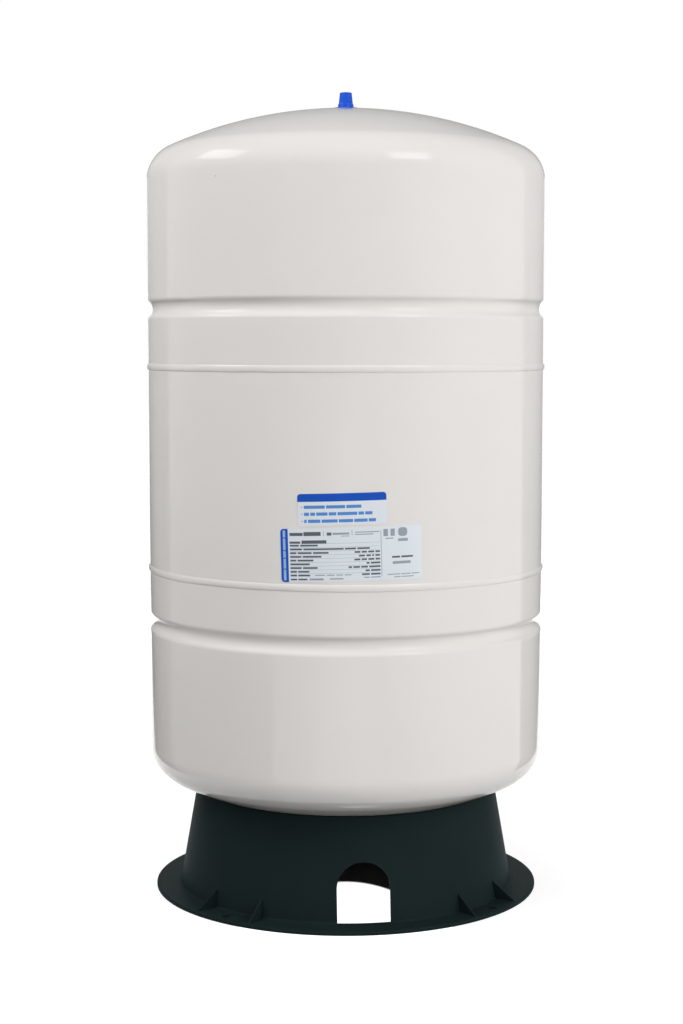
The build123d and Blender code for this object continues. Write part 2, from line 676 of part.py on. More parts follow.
def stand_shell():
    """Flange, skirt and the ledge that the lower dome sits in."""
    sole = STAND_FLANGE_RADIUS - FLANGE_EDGE
    lip_in = STAND_FLANGE_RADIUS - FLANGE_LIP
    foot_top = STAND_FLANGE + FOOT_STEP_HEIGHT
    seat_inner = SKIRT_RIM_RADIUS - SEAT_WIDTH
    ball_centre = (0, CROWN_HEIGHT + CROWN_RADIUS)
    ball_radius = CROWN_RADIUS + SEAT_FIT
    seat_angles = [-math.degrees(math.acos(r / ball_radius)) for r in (SKIRT_RIM_RADIUS, seat_inner)]
    seat = arc(ball_centre, ball_radius, *seat_angles)
    rim = arc((SKIRT_RIM_RADIUS, STAND_RIM_Z - RIM_EDGE), RIM_EDGE, 0, 90)
    fillet_top = (skirt_radius(foot_top + FOOT_FILLET), foot_top + FOOT_FILLET)
    fillet_out = (skirt_radius(foot_top) + FOOT_FILLET, foot_top)
    fillet_waist = polar((fillet_out[0], fillet_top[1]), FOOT_FILLET, 225)
    ledge_z = (seat @ 1).Y - SEAT_THICKNESS
    wall_z = ledge_z - (skirt_radius(ledge_z) - STAND_WALL - seat_inner)
    step_radius = skirt_radius(foot_top) + FOOT_FILLET + FOOT_STEP_WIDTH
    inside = Polyline(
        seat @ 1,
        (seat_inner, ledge_z),
        (skirt_radius(wall_z) - STAND_WALL, wall_z),
        (skirt_radius(0) - STAND_WALL, 0),
        (sole, 0),
    )
    outside = Polyline(
        (lip_in, STAND_FLANGE),
        (step_radius, STAND_FLANGE),
        (step_radius - FOOT_STEP_HEIGHT, foot_top),
        fillet_out,
    )
    edges = [
        *inside.edges(),
        arc((sole, FLANGE_EDGE), FLANGE_EDGE, -90, 0),
        Line((STAND_FLANGE_RADIUS, FLANGE_EDGE), (STAND_FLANGE_RADIUS, STAND_FLANGE - FLANGE_LIP)),
        arc((lip_in, STAND_FLANGE - FLANGE_LIP), FLANGE_LIP, 0, 90),
        *outside.edges(),
        ThreePointArc(fillet_out, fillet_waist, fillet_top),
        Line(fillet_top, rim @ 0),
        rim,
        Line(rim @ 1, seat @ 0),
        seat,
    ]
    return turned([edge for edge in edges if edge.length > 1e-6])


def radial_plate(points, thickness):
    """A flat plate in the plane through the axis and -Y, drawn as radius and height."""
    face = make_face(Polyline(*points, close=True))
    return Rot(0, 0, -90) * extrude(Plane.XZ * face, thickness / 2, both=True)


def gussets():
    """Thin triangular ribs on either side of each fixing hole."""
    top = STAND_FLANGE + GUSSET_HEIGHT
    bottom = STAND_FLANGE / 2
    plate = radial_plate(
        [
            (skirt_radius(top) - STAND_WALL / 2, top),
            (skirt_radius(top), top),
            (STAND_FLANGE_RADIUS - GUSSET_EDGE, STAND_FLANGE),
            (STAND_FLANGE_RADIUS - GUSSET_EDGE, bottom),
            (skirt_radius(bottom) - STAND_WALL / 2, bottom),
        ],
        GUSSET,
    )
    turns = [side * GUSSET_SPREAD for side in (-1, 1)]
    return [at_azimuth(hole + turn, plate) for hole in fixing_azimuths() for turn in turns]


def inner_ribs():
    """Ribs under the ledge that carry the dome inside the skirt."""
    top = STAND_RIM_Z
    bottom = top - INNER_RIB_HEIGHT
    reach = SKIRT_RIM_RADIUS - INNER_RIB_REACH
    plate = radial_plate(
        [
            (skirt_radius(bottom) - STAND_WALL / 2, bottom),
            (reach, top - INNER_RIB_TIP - INNER_RIB_HEIGHT / 4),
            (reach, top),
            (skirt_radius(top) - STAND_WALL / 2, top - RIM_EDGE),
        ],
        INNER_RIB,
    )
    step = 360 / INNER_RIBS
    return [at_azimuth(ARCH_AZIMUTH + step * (count + 0.5), plate) for count in range(INNER_RIBS)]


def stud_lugs():
    """Shelves inside the skirt for the welded studs, each hung between two cheeks."""
    inner = STUD_CIRCLE_RADIUS - LUG_END
    outer = skirt_radius(LUG_Z) - STAND_WALL / 2
    shelf = Pos(0, -(inner + outer) / 2, LUG_Z + LUG / 2) * Box(LUG_WIDTH, outer - inner, LUG)
    cheek = radial_plate(
        [
            (inner, LUG_Z),
            (outer, LUG_Z),
            (skirt_radius(STAND_RIM_Z) - STAND_WALL / 2, STAND_RIM_Z - RIM_EDGE),
            (inner, STAND_RIM_Z - RIM_EDGE),
        ],
        LUG_CHEEK,
    )
    side = (LUG_WIDTH - LUG_CHEEK) / 2
    lug = [shelf, Pos(side, 0, 0) * cheek, Pos(-side, 0, 0) * cheek]
    return [at_azimuth(turn, piece) for turn in fixing_azimuths() for piece in lug]


def fixing_azimuths():
    """Azimuths of the fixing holes, spread evenly with the arch midway between two."""
    step = 360 / FIXING_HOLES
    return [ARCH_AZIMUTH + step * (count + 0.5) for count in range(FIXING_HOLES)]


def arch_cutter():
    """The arched doorway for the pipe, from the flange's top upwards."""
    radius = ARCH_WIDTH / 2
    straight = ARCH_TOP - radius - STAND_FLANGE
    inner = skirt_radius(ARCH_TOP) - 4 * STAND_WALL
    depth = STAND_FLANGE_RADIUS - inner
    door = Pos(0, straight / 2) * Rectangle(ARCH_WIDTH, straight) + Pos(0, straight) * Circle(radius)
    door = split_above(door)
    cutter = extrude(Plane.XZ.offset(inner) * door, depth)
    return at_azimuth(ARCH_AZIMUTH, Pos(0, 0, STAND_FLANGE) * cutter)


def split_above(face):
    """Keep the part of a doorway's outline above its sill."""
    return face & (Pos(0, ARCH_TOP) * Rectangle(2 * ARCH_WIDTH, 2 * ARCH_TOP))


def stand():
    """The moulded base in one piece."""
    solid = stand_shell() + inner_ribs() + stud_lugs()
    solid = solid - crown_ball(SEAT_FIT) + gussets() - arch_cutter()
    fixing = Cylinder(FIXING_HOLE_RADIUS, 4 * STAND_FLANGE)
    stud = Pos(0, 0, LUG_Z) * Cylinder(STUD_RADIUS + STUD_HOLE_CLEARANCE, 4 * LUG)
    holes = []
    for azimuth in fixing_azimuths():
        holes.append(at_azimuth(azimuth, Pos(0, -FIXING_CIRCLE_RADIUS, 0) * fixing))
        holes.append(at_azimuth(azimuth, Pos(0, -STUD_CIRCLE_RADIUS, 0) * stud))
    return solid - holes


def weld_studs():
    """Studs under the lower dome, each with a small welded foot."""
    bottom = STUD_TOP_Z - STUD_LENGTH
    shank = Pos(0, 0, bottom + STUD_LENGTH) * Cylinder(STUD_RADIUS, 2 * STUD_LENGTH)
    foot = Pos(0, 0, STUD_TOP_Z) * Cylinder(STUD_FOOT_RADIUS, 2 * STUD_FOOT)
    stud = Pos(0, -STUD_CIRCLE_RADIUS, 0) * (shank + foot) - crown_ball(WELD_SEAT)
    return Compound([at_azimuth(turn, stud).solid() for turn in fixing_azimuths()])


def push_nuts():
    """Spring washers pushed onto the studs under the stand's lugs."""
    washer = ring(STUD_RADIUS + PUSH_NUT_GRIP, PUSH_NUT_RADIUS, -PUSH_NUT, 0)
    nut = Pos(0, -STUD_CIRCLE_RADIUS, LUG_Z) * washer
    return Compound([at_azimuth(turn, nut).solid() for turn in fixing_azimuths()])


# Labels


def label(width, height, azimuth, middle):
    """A film that follows the vessel's side, a little tilted."""
    half_chord = VESSEL_RADIUS * math.sin(width / 2 / VESSEL_RADIUS)
    outline = Rot(0, 0, LABEL_TILT) * RectangleRounded(2 * half_chord, height, LABEL_CORNER)
    block = extrude(Plane.XZ * outline, 2 * VESSEL_RADIUS)
    inner = VESSEL_RADIUS + FILM_GAP
    skin = ring(inner, inner + FILM, -height, height)
    return Pos(0, 0, middle) * at_azimuth(azimuth, block & skin)


def rating_label():
    middle = LOWER_WELD_Z + RATING_ABOVE_WELD
    return label(RATING_WIDTH, RATING_HEIGHT, RATING_AZIMUTH, middle)


def notice_label():
    middle = LOWER_WELD_Z + NOTICE_ABOVE_WELD
    return label(NOTICE_WIDTH, NOTICE_HEIGHT, NOTICE_AZIMUTH, middle)


PARTS = {
    "upper_dome": upper_dome,
    "shell_course": shell_course,
    "lower_dome": lower_dome,
    "upper_weld": lambda: girth_weld(UPPER_WELD_Z),
    "lower_weld": lambda: girth_weld(LOWER_WELD_Z),
    "seam_weld": seam_weld,
    "liner": liner,
    "diaphragm": diaphragm,
    "clench_ring": clench_ring,
    "water_connection": water_connection,
    "connection_seal": connection_seal,
    "connection_nut": connection_nut,
    "valve_boss": valve_boss,
    "stem_gasket": stem_gasket,
    "valve_stem": valve_stem,
    "core_body": core_body,
    "core_pin": core_pin,
    "core_seal": core_seal,
    "core_spring": core_spring,
    "valve_cap": valve_cap,
    "cap_seal": cap_seal,
    "stand": stand,
    "weld_studs": weld_studs,
    "push_nuts": push_nuts,
    "rating_label": rating_label,
    "notice_label": notice_label,
}


def main():
    os.makedirs("parts", exist_ok=True)
    for node, build in PARTS.items():
        export_step(build(), f"parts/{node}.step")


main()
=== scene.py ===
"""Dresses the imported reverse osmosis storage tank: enamelled vessel, stand, valve cap and films."""

import logging
from dataclasses import dataclass
from enum import Enum
from math import acos, asin, atan2, cos, degrees, hypot, pi, radians, sin, sqrt, tan, tau
from typing import Iterable, Optional, Sequence

import bmesh
import bpy
from bmesh.types import BMEdge, BMesh, BMVert
from bpy.types import Material, Node, NodeSocket, NodeTree, Object
from mathutils import Matrix, Vector, noise


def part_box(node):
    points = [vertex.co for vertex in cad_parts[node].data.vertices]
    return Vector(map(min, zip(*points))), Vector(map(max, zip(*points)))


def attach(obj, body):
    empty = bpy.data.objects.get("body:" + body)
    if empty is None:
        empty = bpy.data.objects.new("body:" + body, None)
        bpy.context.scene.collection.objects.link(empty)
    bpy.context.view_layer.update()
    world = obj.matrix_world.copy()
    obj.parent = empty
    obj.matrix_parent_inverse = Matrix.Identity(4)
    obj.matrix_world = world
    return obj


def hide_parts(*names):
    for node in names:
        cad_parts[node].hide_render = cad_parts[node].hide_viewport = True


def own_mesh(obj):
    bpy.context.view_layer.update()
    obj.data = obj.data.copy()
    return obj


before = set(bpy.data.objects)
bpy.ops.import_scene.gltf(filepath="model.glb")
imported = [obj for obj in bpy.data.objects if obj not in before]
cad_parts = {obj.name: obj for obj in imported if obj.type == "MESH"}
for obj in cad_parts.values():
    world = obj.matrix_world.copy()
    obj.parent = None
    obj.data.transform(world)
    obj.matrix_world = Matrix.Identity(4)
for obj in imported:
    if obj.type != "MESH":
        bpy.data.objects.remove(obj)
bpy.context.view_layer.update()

MM = 0.001
LOG = logging.getLogger("storage_tank")


class Body(Enum):
    """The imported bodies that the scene's own pieces ride on."""

    VESSEL = "vessel"
    CAP = "cap"


def linear(hex_colour: str) -> tuple[float, float, float, float]:
    """Turns an sRGB hex colour into the linear values that shaders take.

    Args:
        hex_colour: Six hex digits after a hash sign.

    Returns:
        Linear red, green, blue and an alpha of 1.
    """
    parts = [int(hex_colour[i : i + 2], 16) / 255 for i in (1, 3, 5)]
    values = [c / 12.92 if c <= 0.04045 else ((c + 0.055) / 1.055) ** 2.4 for c in parts]
    return (values[0], values[1], values[2], 1.0)


def add_node(tree: NodeTree, kind: str, inputs: Optional[dict] = None, **settings: object) -> Node:
    """Adds a shader node with its settings and its links.

    Args:
        tree: The node tree that takes the node.
        kind: The node's type name, after its ShaderNode.
        inputs: Values or linked output sockets, by input name or number. A MapRange has its value
            at 0, the range it comes from at 1 and 2, and the range it goes to at 3 and 4.
        **settings: Attributes of the node itself.

    Returns:
        The new node.
    """
    made = tree.nodes.new("ShaderNode" + kind)
    for name, value in settings.items():
        setattr(made, name, value)
    for key, value in (inputs or {}).items():
        if isinstance(value, NodeSocket):
            tree.links.new(value, made.inputs[key])
        else:
            made.inputs[key].default_value = value
    return made


def linked(name: str, data: bpy.types.ID) -> Object:
    """Makes an object of a mesh, a lamp or a camera and links it to the scene."""
    made = bpy.data.objects.new(name, data)
    bpy.context.scene.collection.objects.link(made)
    return made


def blank_material(name: str) -> Material:
    """Makes a material with an empty node tree."""
    made = bpy.data.materials.new(name)
    made.use_nodes = True
    made.node_tree.nodes.clear()
    return made


# Finishes


@dataclass(frozen=True)
class Finish:
    """A surface: two near colours in soft patches, a gloss that varies a little, and a fine relief.

    The pattern sizes are real ones in millimetres.
    """

    name: str
    colour: str
    patch_colour: str
    patch_mm: float
    roughness: float
    roughness_swing: float
    relief_mm: float
    relief_depth_mm: float
    metallic: float = 0.0
    stretch: tuple[float, float, float] = (1.0, 1.0, 1.0)
    subsurface: float = 0.0
    specular: float = 0.5

    def base(self, tree: NodeTree, place: NodeSocket) -> NodeSocket:
        """Gives the colour: the main one, with soft patches of the second.

        Args:
            tree: The material's node tree.
            place: Object coordinates, in metres.

        Returns:
            The colour socket.
        """
        patches = add_node(
            tree, "TexNoise", {"Vector": place, "Scale": 1 / (self.patch_mm * MM), "Detail": 3.0}
        )
        mix = add_node(
            tree, "Mix",
            {0: patches.outputs[0], 6: linear(self.colour), 7: linear(self.patch_colour)},
            data_type="RGBA"
        )
        return mix.outputs[2]

    def relief(self, tree: NodeTree, place: NodeSocket) -> NodeSocket:
        """Gives the height of the fine relief, from 0 to 1.

        Args:
            tree: The material's node tree.
            place: Object coordinates, in metres.

        Returns:
            The height socket.
        """
        grain = add_node(
            tree, "TexNoise", {"Vector": place, "Scale": 1 / (self.relief_mm * MM), "Detail": 2.0}
        )
        return grain.outputs[0]

    def material(self) -> Material:
        """Builds the material."""
        made = blank_material(self.name)
        tree = made.node_tree
        place = add_node(tree, "TexCoord").outputs["Object"]
        stretched = add_node(tree, "Mapping", {"Vector": place, "Scale": self.stretch}).outputs[0]
        height = self.relief(tree, stretched)
        bump = add_node(
            tree, "Bump", {"Height": height, "Distance": self.relief_depth_mm * MM, "Strength": 1.0}
        )
        gloss = add_node(
            tree, "MapRange",
            {
                0: height, 1: 0.3, 2: 0.7, 3: self.roughness - self.roughness_swing,
                4: self.roughness + self.roughness_swing
            }
        )
        shader = add_node(
            tree, "BsdfPrincipled",
            {
                "Base Color": self.base(tree, place), "Roughness": gloss.outputs[0],
                "Normal": bump.outputs[0], "Metallic": self.metallic,
                "Specular IOR Level": self.specular, "Subsurface Weight": self.subsurface,
                "Subsurface Scale": 2 * MM
            }
        )
        add_node(tree, "OutputMaterial", {"Surface": shader.outputs[0]})
        return made


@dataclass(frozen=True)
class SpeckledEnamel(Finish):
    """Enamel with one dark pinhole, where the coat didn't close."""

    speck: tuple[float, float, float] = (0.0, 0.0, 0.0)
    speck_mm: float = 0.7
    speck_colour: str = "#8f8b88"

    def base(self, tree: NodeTree, place: NodeSocket) -> NodeSocket:
        """Adds the pinhole to the enamel's colour.

        Args:
            tree: The material's node tree.
            place: Object coordinates, in metres.

        Returns:
            The colour socket.
        """
        coat = super().base(tree, place)
        away = add_node(
            tree, "VectorMath", {0: place, 1: tuple(c * MM for c in self.speck)},
            operation="DISTANCE"
        )
        mark = add_node(
            tree, "MapRange",
            {
                0: away.outputs["Value"], 1: self.speck_mm * MM * 0.5, 2: self.speck_mm * MM,
                3: 1.0, 4: 0.0
            }
        )
        mix = add_node(
            tree, "Mix", {0: mark.outputs[0], 6: coat, 7: linear(self.speck_colour)},
            data_type="RGBA"
        )
        return mix.outputs[2]


# Powder coat baked on steel: glossy, with a faint orange peel about 2 mm across
ENAMEL = SpeckledEnamel(
    "powder_coat_warm_white", "#e2dfdc", "#dedbd7", 90.0, 0.09, 0.015, 2.4, 0.003,
    speck=(-119.5, -157.2, 702.0)
)
# Moulded polypropylene, black with a green cast: satin, spark-eroded mould texture
STAND_PLASTIC = Finish(
    "moulded_black_polypropylene", "#172223", "#1b2728", 60.0, 0.56, 0.05, 0.9, 0.02, specular=0.03
)
# Moulded polyethylene, blue: waxy, and light passes a little way in
CAP_PLASTIC = Finish(
    "moulded_blue_polyethylene", "#0056d2", "#004cc4", 9.0, 0.22, 0.03, 0.8, 0.006, subsurface=0.08,
    specular=0.3
)
# Polyester label film, cool white: satin
FILM = Finish("polyester_film_cool_white", "#dde3e8", "#d8dfe5", 30.0, 0.34, 0.02, 3.0, 0.004)
# Printing inks on the film: they keep the film's own gloss
INK_BLUE = Finish("ink_blue", "#064cb8", "#084ab0", 12.0, 0.36, 0.02, 1.0, 0.002, specular=0.25)
INK_PALE = Finish("ink_pale_blue", "#8ab0d8", "#92b6da", 6.0, 0.38, 0.02, 1.0, 0.002)
INK_SKY = Finish("ink_sky_blue", "#3f7cc4", "#4c86ca", 6.0, 0.38, 0.02, 1.0, 0.002)
INK_DARK = Finish("ink_grey_black", "#454b56", "#505661", 5.0, 0.38, 0.02, 1.0, 0.002)
INK_RULE = Finish("ink_rule_grey", "#949ca6", "#8b939d", 10.0, 0.38, 0.02, 1.0, 0.002)
# Turned stainless steel: fine tool rings round the axis
STAINLESS = Finish(
    "turned_stainless_steel", "#c3c2be", "#b9b8b4", 12.0, 0.24, 0.06, 2.5, 0.004, 1.0,
    stretch=(0.15, 0.15, 14.0)
)
# Turned brass, a little dulled: fine tool rings round the axis
BRASS = Finish(
    "turned_brass", "#c9a45c", "#b8924d", 6.0, 0.26, 0.06, 1.2, 0.003, 1.0,
    stretch=(0.15, 0.15, 14.0)
)
# Bright zinc plate on steel: grey, softly clouded
ZINC_PLATE = Finish("zinc_plated_steel", "#b4b6b8", "#a3a6aa", 5.0, 0.34, 0.08, 1.4, 0.006, 1.0)
# Galvanised strip of the inner hoop: spangle about 8 mm across
HOOP_STEEL = Finish(
    "galvanised_steel_strip", "#a9acae", "#96999c", 8.0, 0.40, 0.08, 4.0, 0.008, 1.0
)
# Drawn spring and pin steel: smooth and bright
PIN_STEEL = Finish("drawn_steel_wire", "#bdbdbb", "#aeaeac", 2.0, 0.22, 0.04, 0.5, 0.001, 1.0)
# Moulded EPDM rubber of the seals: matt black
SEAL_RUBBER = Finish("moulded_epdm_rubber", "#1b1b1b", "#222222", 6.0, 0.62, 0.06, 0.6, 0.008)
# Butyl sheet of the diaphragm: black with a grey bloom of talc
BUTYL = Finish("butyl_sheet", "#232221", "#312f2d", 35.0, 0.66, 0.08, 1.6, 0.02)
# Natural polypropylene of the liner: milky, light passes a little way in
LINER_PLASTIC = Finish(
    "natural_polypropylene", "#e4e5e0", "#dcded8", 50.0, 0.38, 0.05, 2.0, 0.01, subsurface=0.1
)


# Mesh tools


def spin_round(
    mesh: BMesh, geom: list, angle: float, steps: int, rise: float = 0.0, merge: bool = False
) -> dict:
    """Spins geometry round Z.

    Args:
        mesh: The mesh that holds it.
        geom: What is spun.
        angle: How far, in radians.
        steps: The segments of the turn.
        rise: How much each segment climbs.
        merge: Whether a full turn closes on itself.

    Returns:
        What the operator gives.
    """
    return bmesh.ops.spin(
        mesh, geom=geom, cent=(0.0, 0.0, 0.0), axis=(0.0, 0.0, 1.0), dvec=(0.0, 0.0, rise),
        angle=angle, steps=steps, use_merge=merge, use_duplicate=False
    )


def new_verts(geom: Iterable) -> list[BMVert]:
    """Picks the vertices out of what an operator gives."""
    return [item for item in geom if isinstance(item, BMVert)]


def raise_mesh(mesh: BMesh, height: float) -> None:
    """Moves a whole mesh up."""
    bmesh.ops.translate(mesh, verts=mesh.verts[:], vec=(0.0, 0.0, height))


class Section:
    """A section in millimetres of radius and height, drawn with one vertex as the pen and spun."""

    def __init__(self, radius: float, height: float) -> None:
        """Puts the pen down at a radius and a height."""
        self.mesh = bmesh.new()
        self.first = self.mesh.verts.new((radius, 0.0, height))
        self.pen = self.first

    def line(self, radius: float, height: float, steps: int = 1) -> "Section":
        """Draws a straight line in a number of equal steps.

        Args:
            radius: Where the line ends.
            height: Where the line ends.
            steps: The edges along it.

        Returns:
            The section itself.
        """
        step = (Vector((radius, 0.0, height)) - self.pen.co) / steps
        for _ in range(steps):
            made = bmesh.ops.extrude_vert_indiv(self.mesh, verts=[self.pen])["verts"][0]
            made.co += step
            self.pen = made
        return self

    def arc(self, radius: float, height: float, degrees: float, steps: int) -> "Section":
        """Draws an arc round a centre, anticlockwise where the degrees are positive.

        Args:
            radius: The centre's radius.
            height: The centre's height.
            degrees: How far it turns.
            steps: The edges along it.

        Returns:
            The section itself.
        """
        made = bmesh.ops.spin(
            self.mesh, geom=[self.pen], cent=(radius, 0.0, height), axis=(0.0, -1.0, 0.0),
            dvec=(0.0, 0.0, 0.0), angle=radians(degrees), steps=steps, use_duplicate=False
        )
        self.pen = new_verts(made["geom_last"])[0]
        return self

    def close(self) -> "Section":
        """Joins the pen to where it was put down."""
        self.mesh.edges.new((self.pen, self.first))
        return self

    def turn(self, steps: int, wall: float = 0.0, flip: bool = False) -> BMesh:
        """Spins the section a full turn round Z.

        Args:
            steps: The segments of the turn.
            wall: Thickness to add inwards where the section is open, in millimetres.
            flip: Whether an open shell's faces have to be turned to point outwards.

        Returns:
            The mesh, with its faces outwards.
        """
        spin_round(self.mesh, self.mesh.verts[:] + self.mesh.edges[:], tau, steps, merge=True)
        bmesh.ops.remove_doubles(self.mesh, verts=self.mesh.verts[:], dist=1e-4)
        bmesh.ops.recalc_face_normals(self.mesh, faces=self.mesh.faces[:])
        if flip:
            bmesh.ops.reverse_faces(self.mesh, faces=self.mesh.faces[:])
        if wall:
            bmesh.ops.solidify(self.mesh, geom=self.mesh.faces[:], thickness=wall)
        return self.mesh


def piece(
    mesh: BMesh, name: str, finish: Material, body: Body, stands_for: Sequence[str] = (),
    sharp_degrees: float = 30.0
) -> Object:
    """Finishes a mesh drawn in millimetres as a piece of the object, in metres, at its place.

    Args:
        mesh: The mesh, which is used up.
        name: The piece's name.
        finish: Its material.
        body: The body it rides on.
        stands_for: The CAD nodes that it replaces.
        sharp_degrees: Edges that turn by more than this are drawn sharp.

    Returns:
        The piece.
    """
    bmesh.ops.scale(mesh, verts=mesh.verts[:], vec=(MM, MM, MM))
    for face in mesh.faces:
        face.smooth = True
    for edge in mesh.edges:
        edge.smooth = len(
            edge.link_faces
        ) == 2 and edge.calc_face_angle(0.0) < radians(sharp_degrees)
    data = bpy.data.meshes.new(name)
    mesh.to_mesh(data)
    mesh.free()
    data.materials.append(finish)
    made = linked(name, data)
    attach(made, body.value)
    if stands_for:
        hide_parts(*stands_for)
    LOG.info("%s: %d faces", name, len(data.polygons))
    return made


def at_azimuth(radius: float, azimuth: float, height: float) -> Vector:
    """Gives a point by its radius, its azimuth in radians from -Y towards +X, and its height."""
    return Vector((radius * sin(azimuth), -radius * cos(azimuth), height))


def thread_ridge(
    mesh: BMesh, minor: float, major: float, pitch: float, bottom: float, top: float, steps: int
) -> None:
    """Winds one thread ridge round Z, tapered off at both ends.

    Args:
        mesh: The mesh that takes the ridge, in millimetres.
        minor: Radius at the root.
        major: Radius at the crest.
        pitch: Height of one turn.
        bottom: Where the ridge's middle starts.
        top: Where it ends.
        steps: Segments in one turn.
    """
    turns = (top - bottom) / pitch
    sunk = minor - 0.1 * (major - minor)
    section = [(sunk, -0.46), (major, -0.08), (major, 0.08), (sunk, 0.46)]
    verts = [mesh.verts.new((r, 0.0, bottom + share * pitch)) for r, share in section]
    start = mesh.faces.new(verts)
    count = round(turns * steps)
    made = spin_round(mesh, [start], turns * tau, count, (top - bottom) / count)
    for vert in verts + new_verts(made["geom_last"]):
        flat = Vector((vert.co.x, vert.co.y, 0.0))
        vert.co += flat.normalized() * (sunk - flat.length)


# The vessel


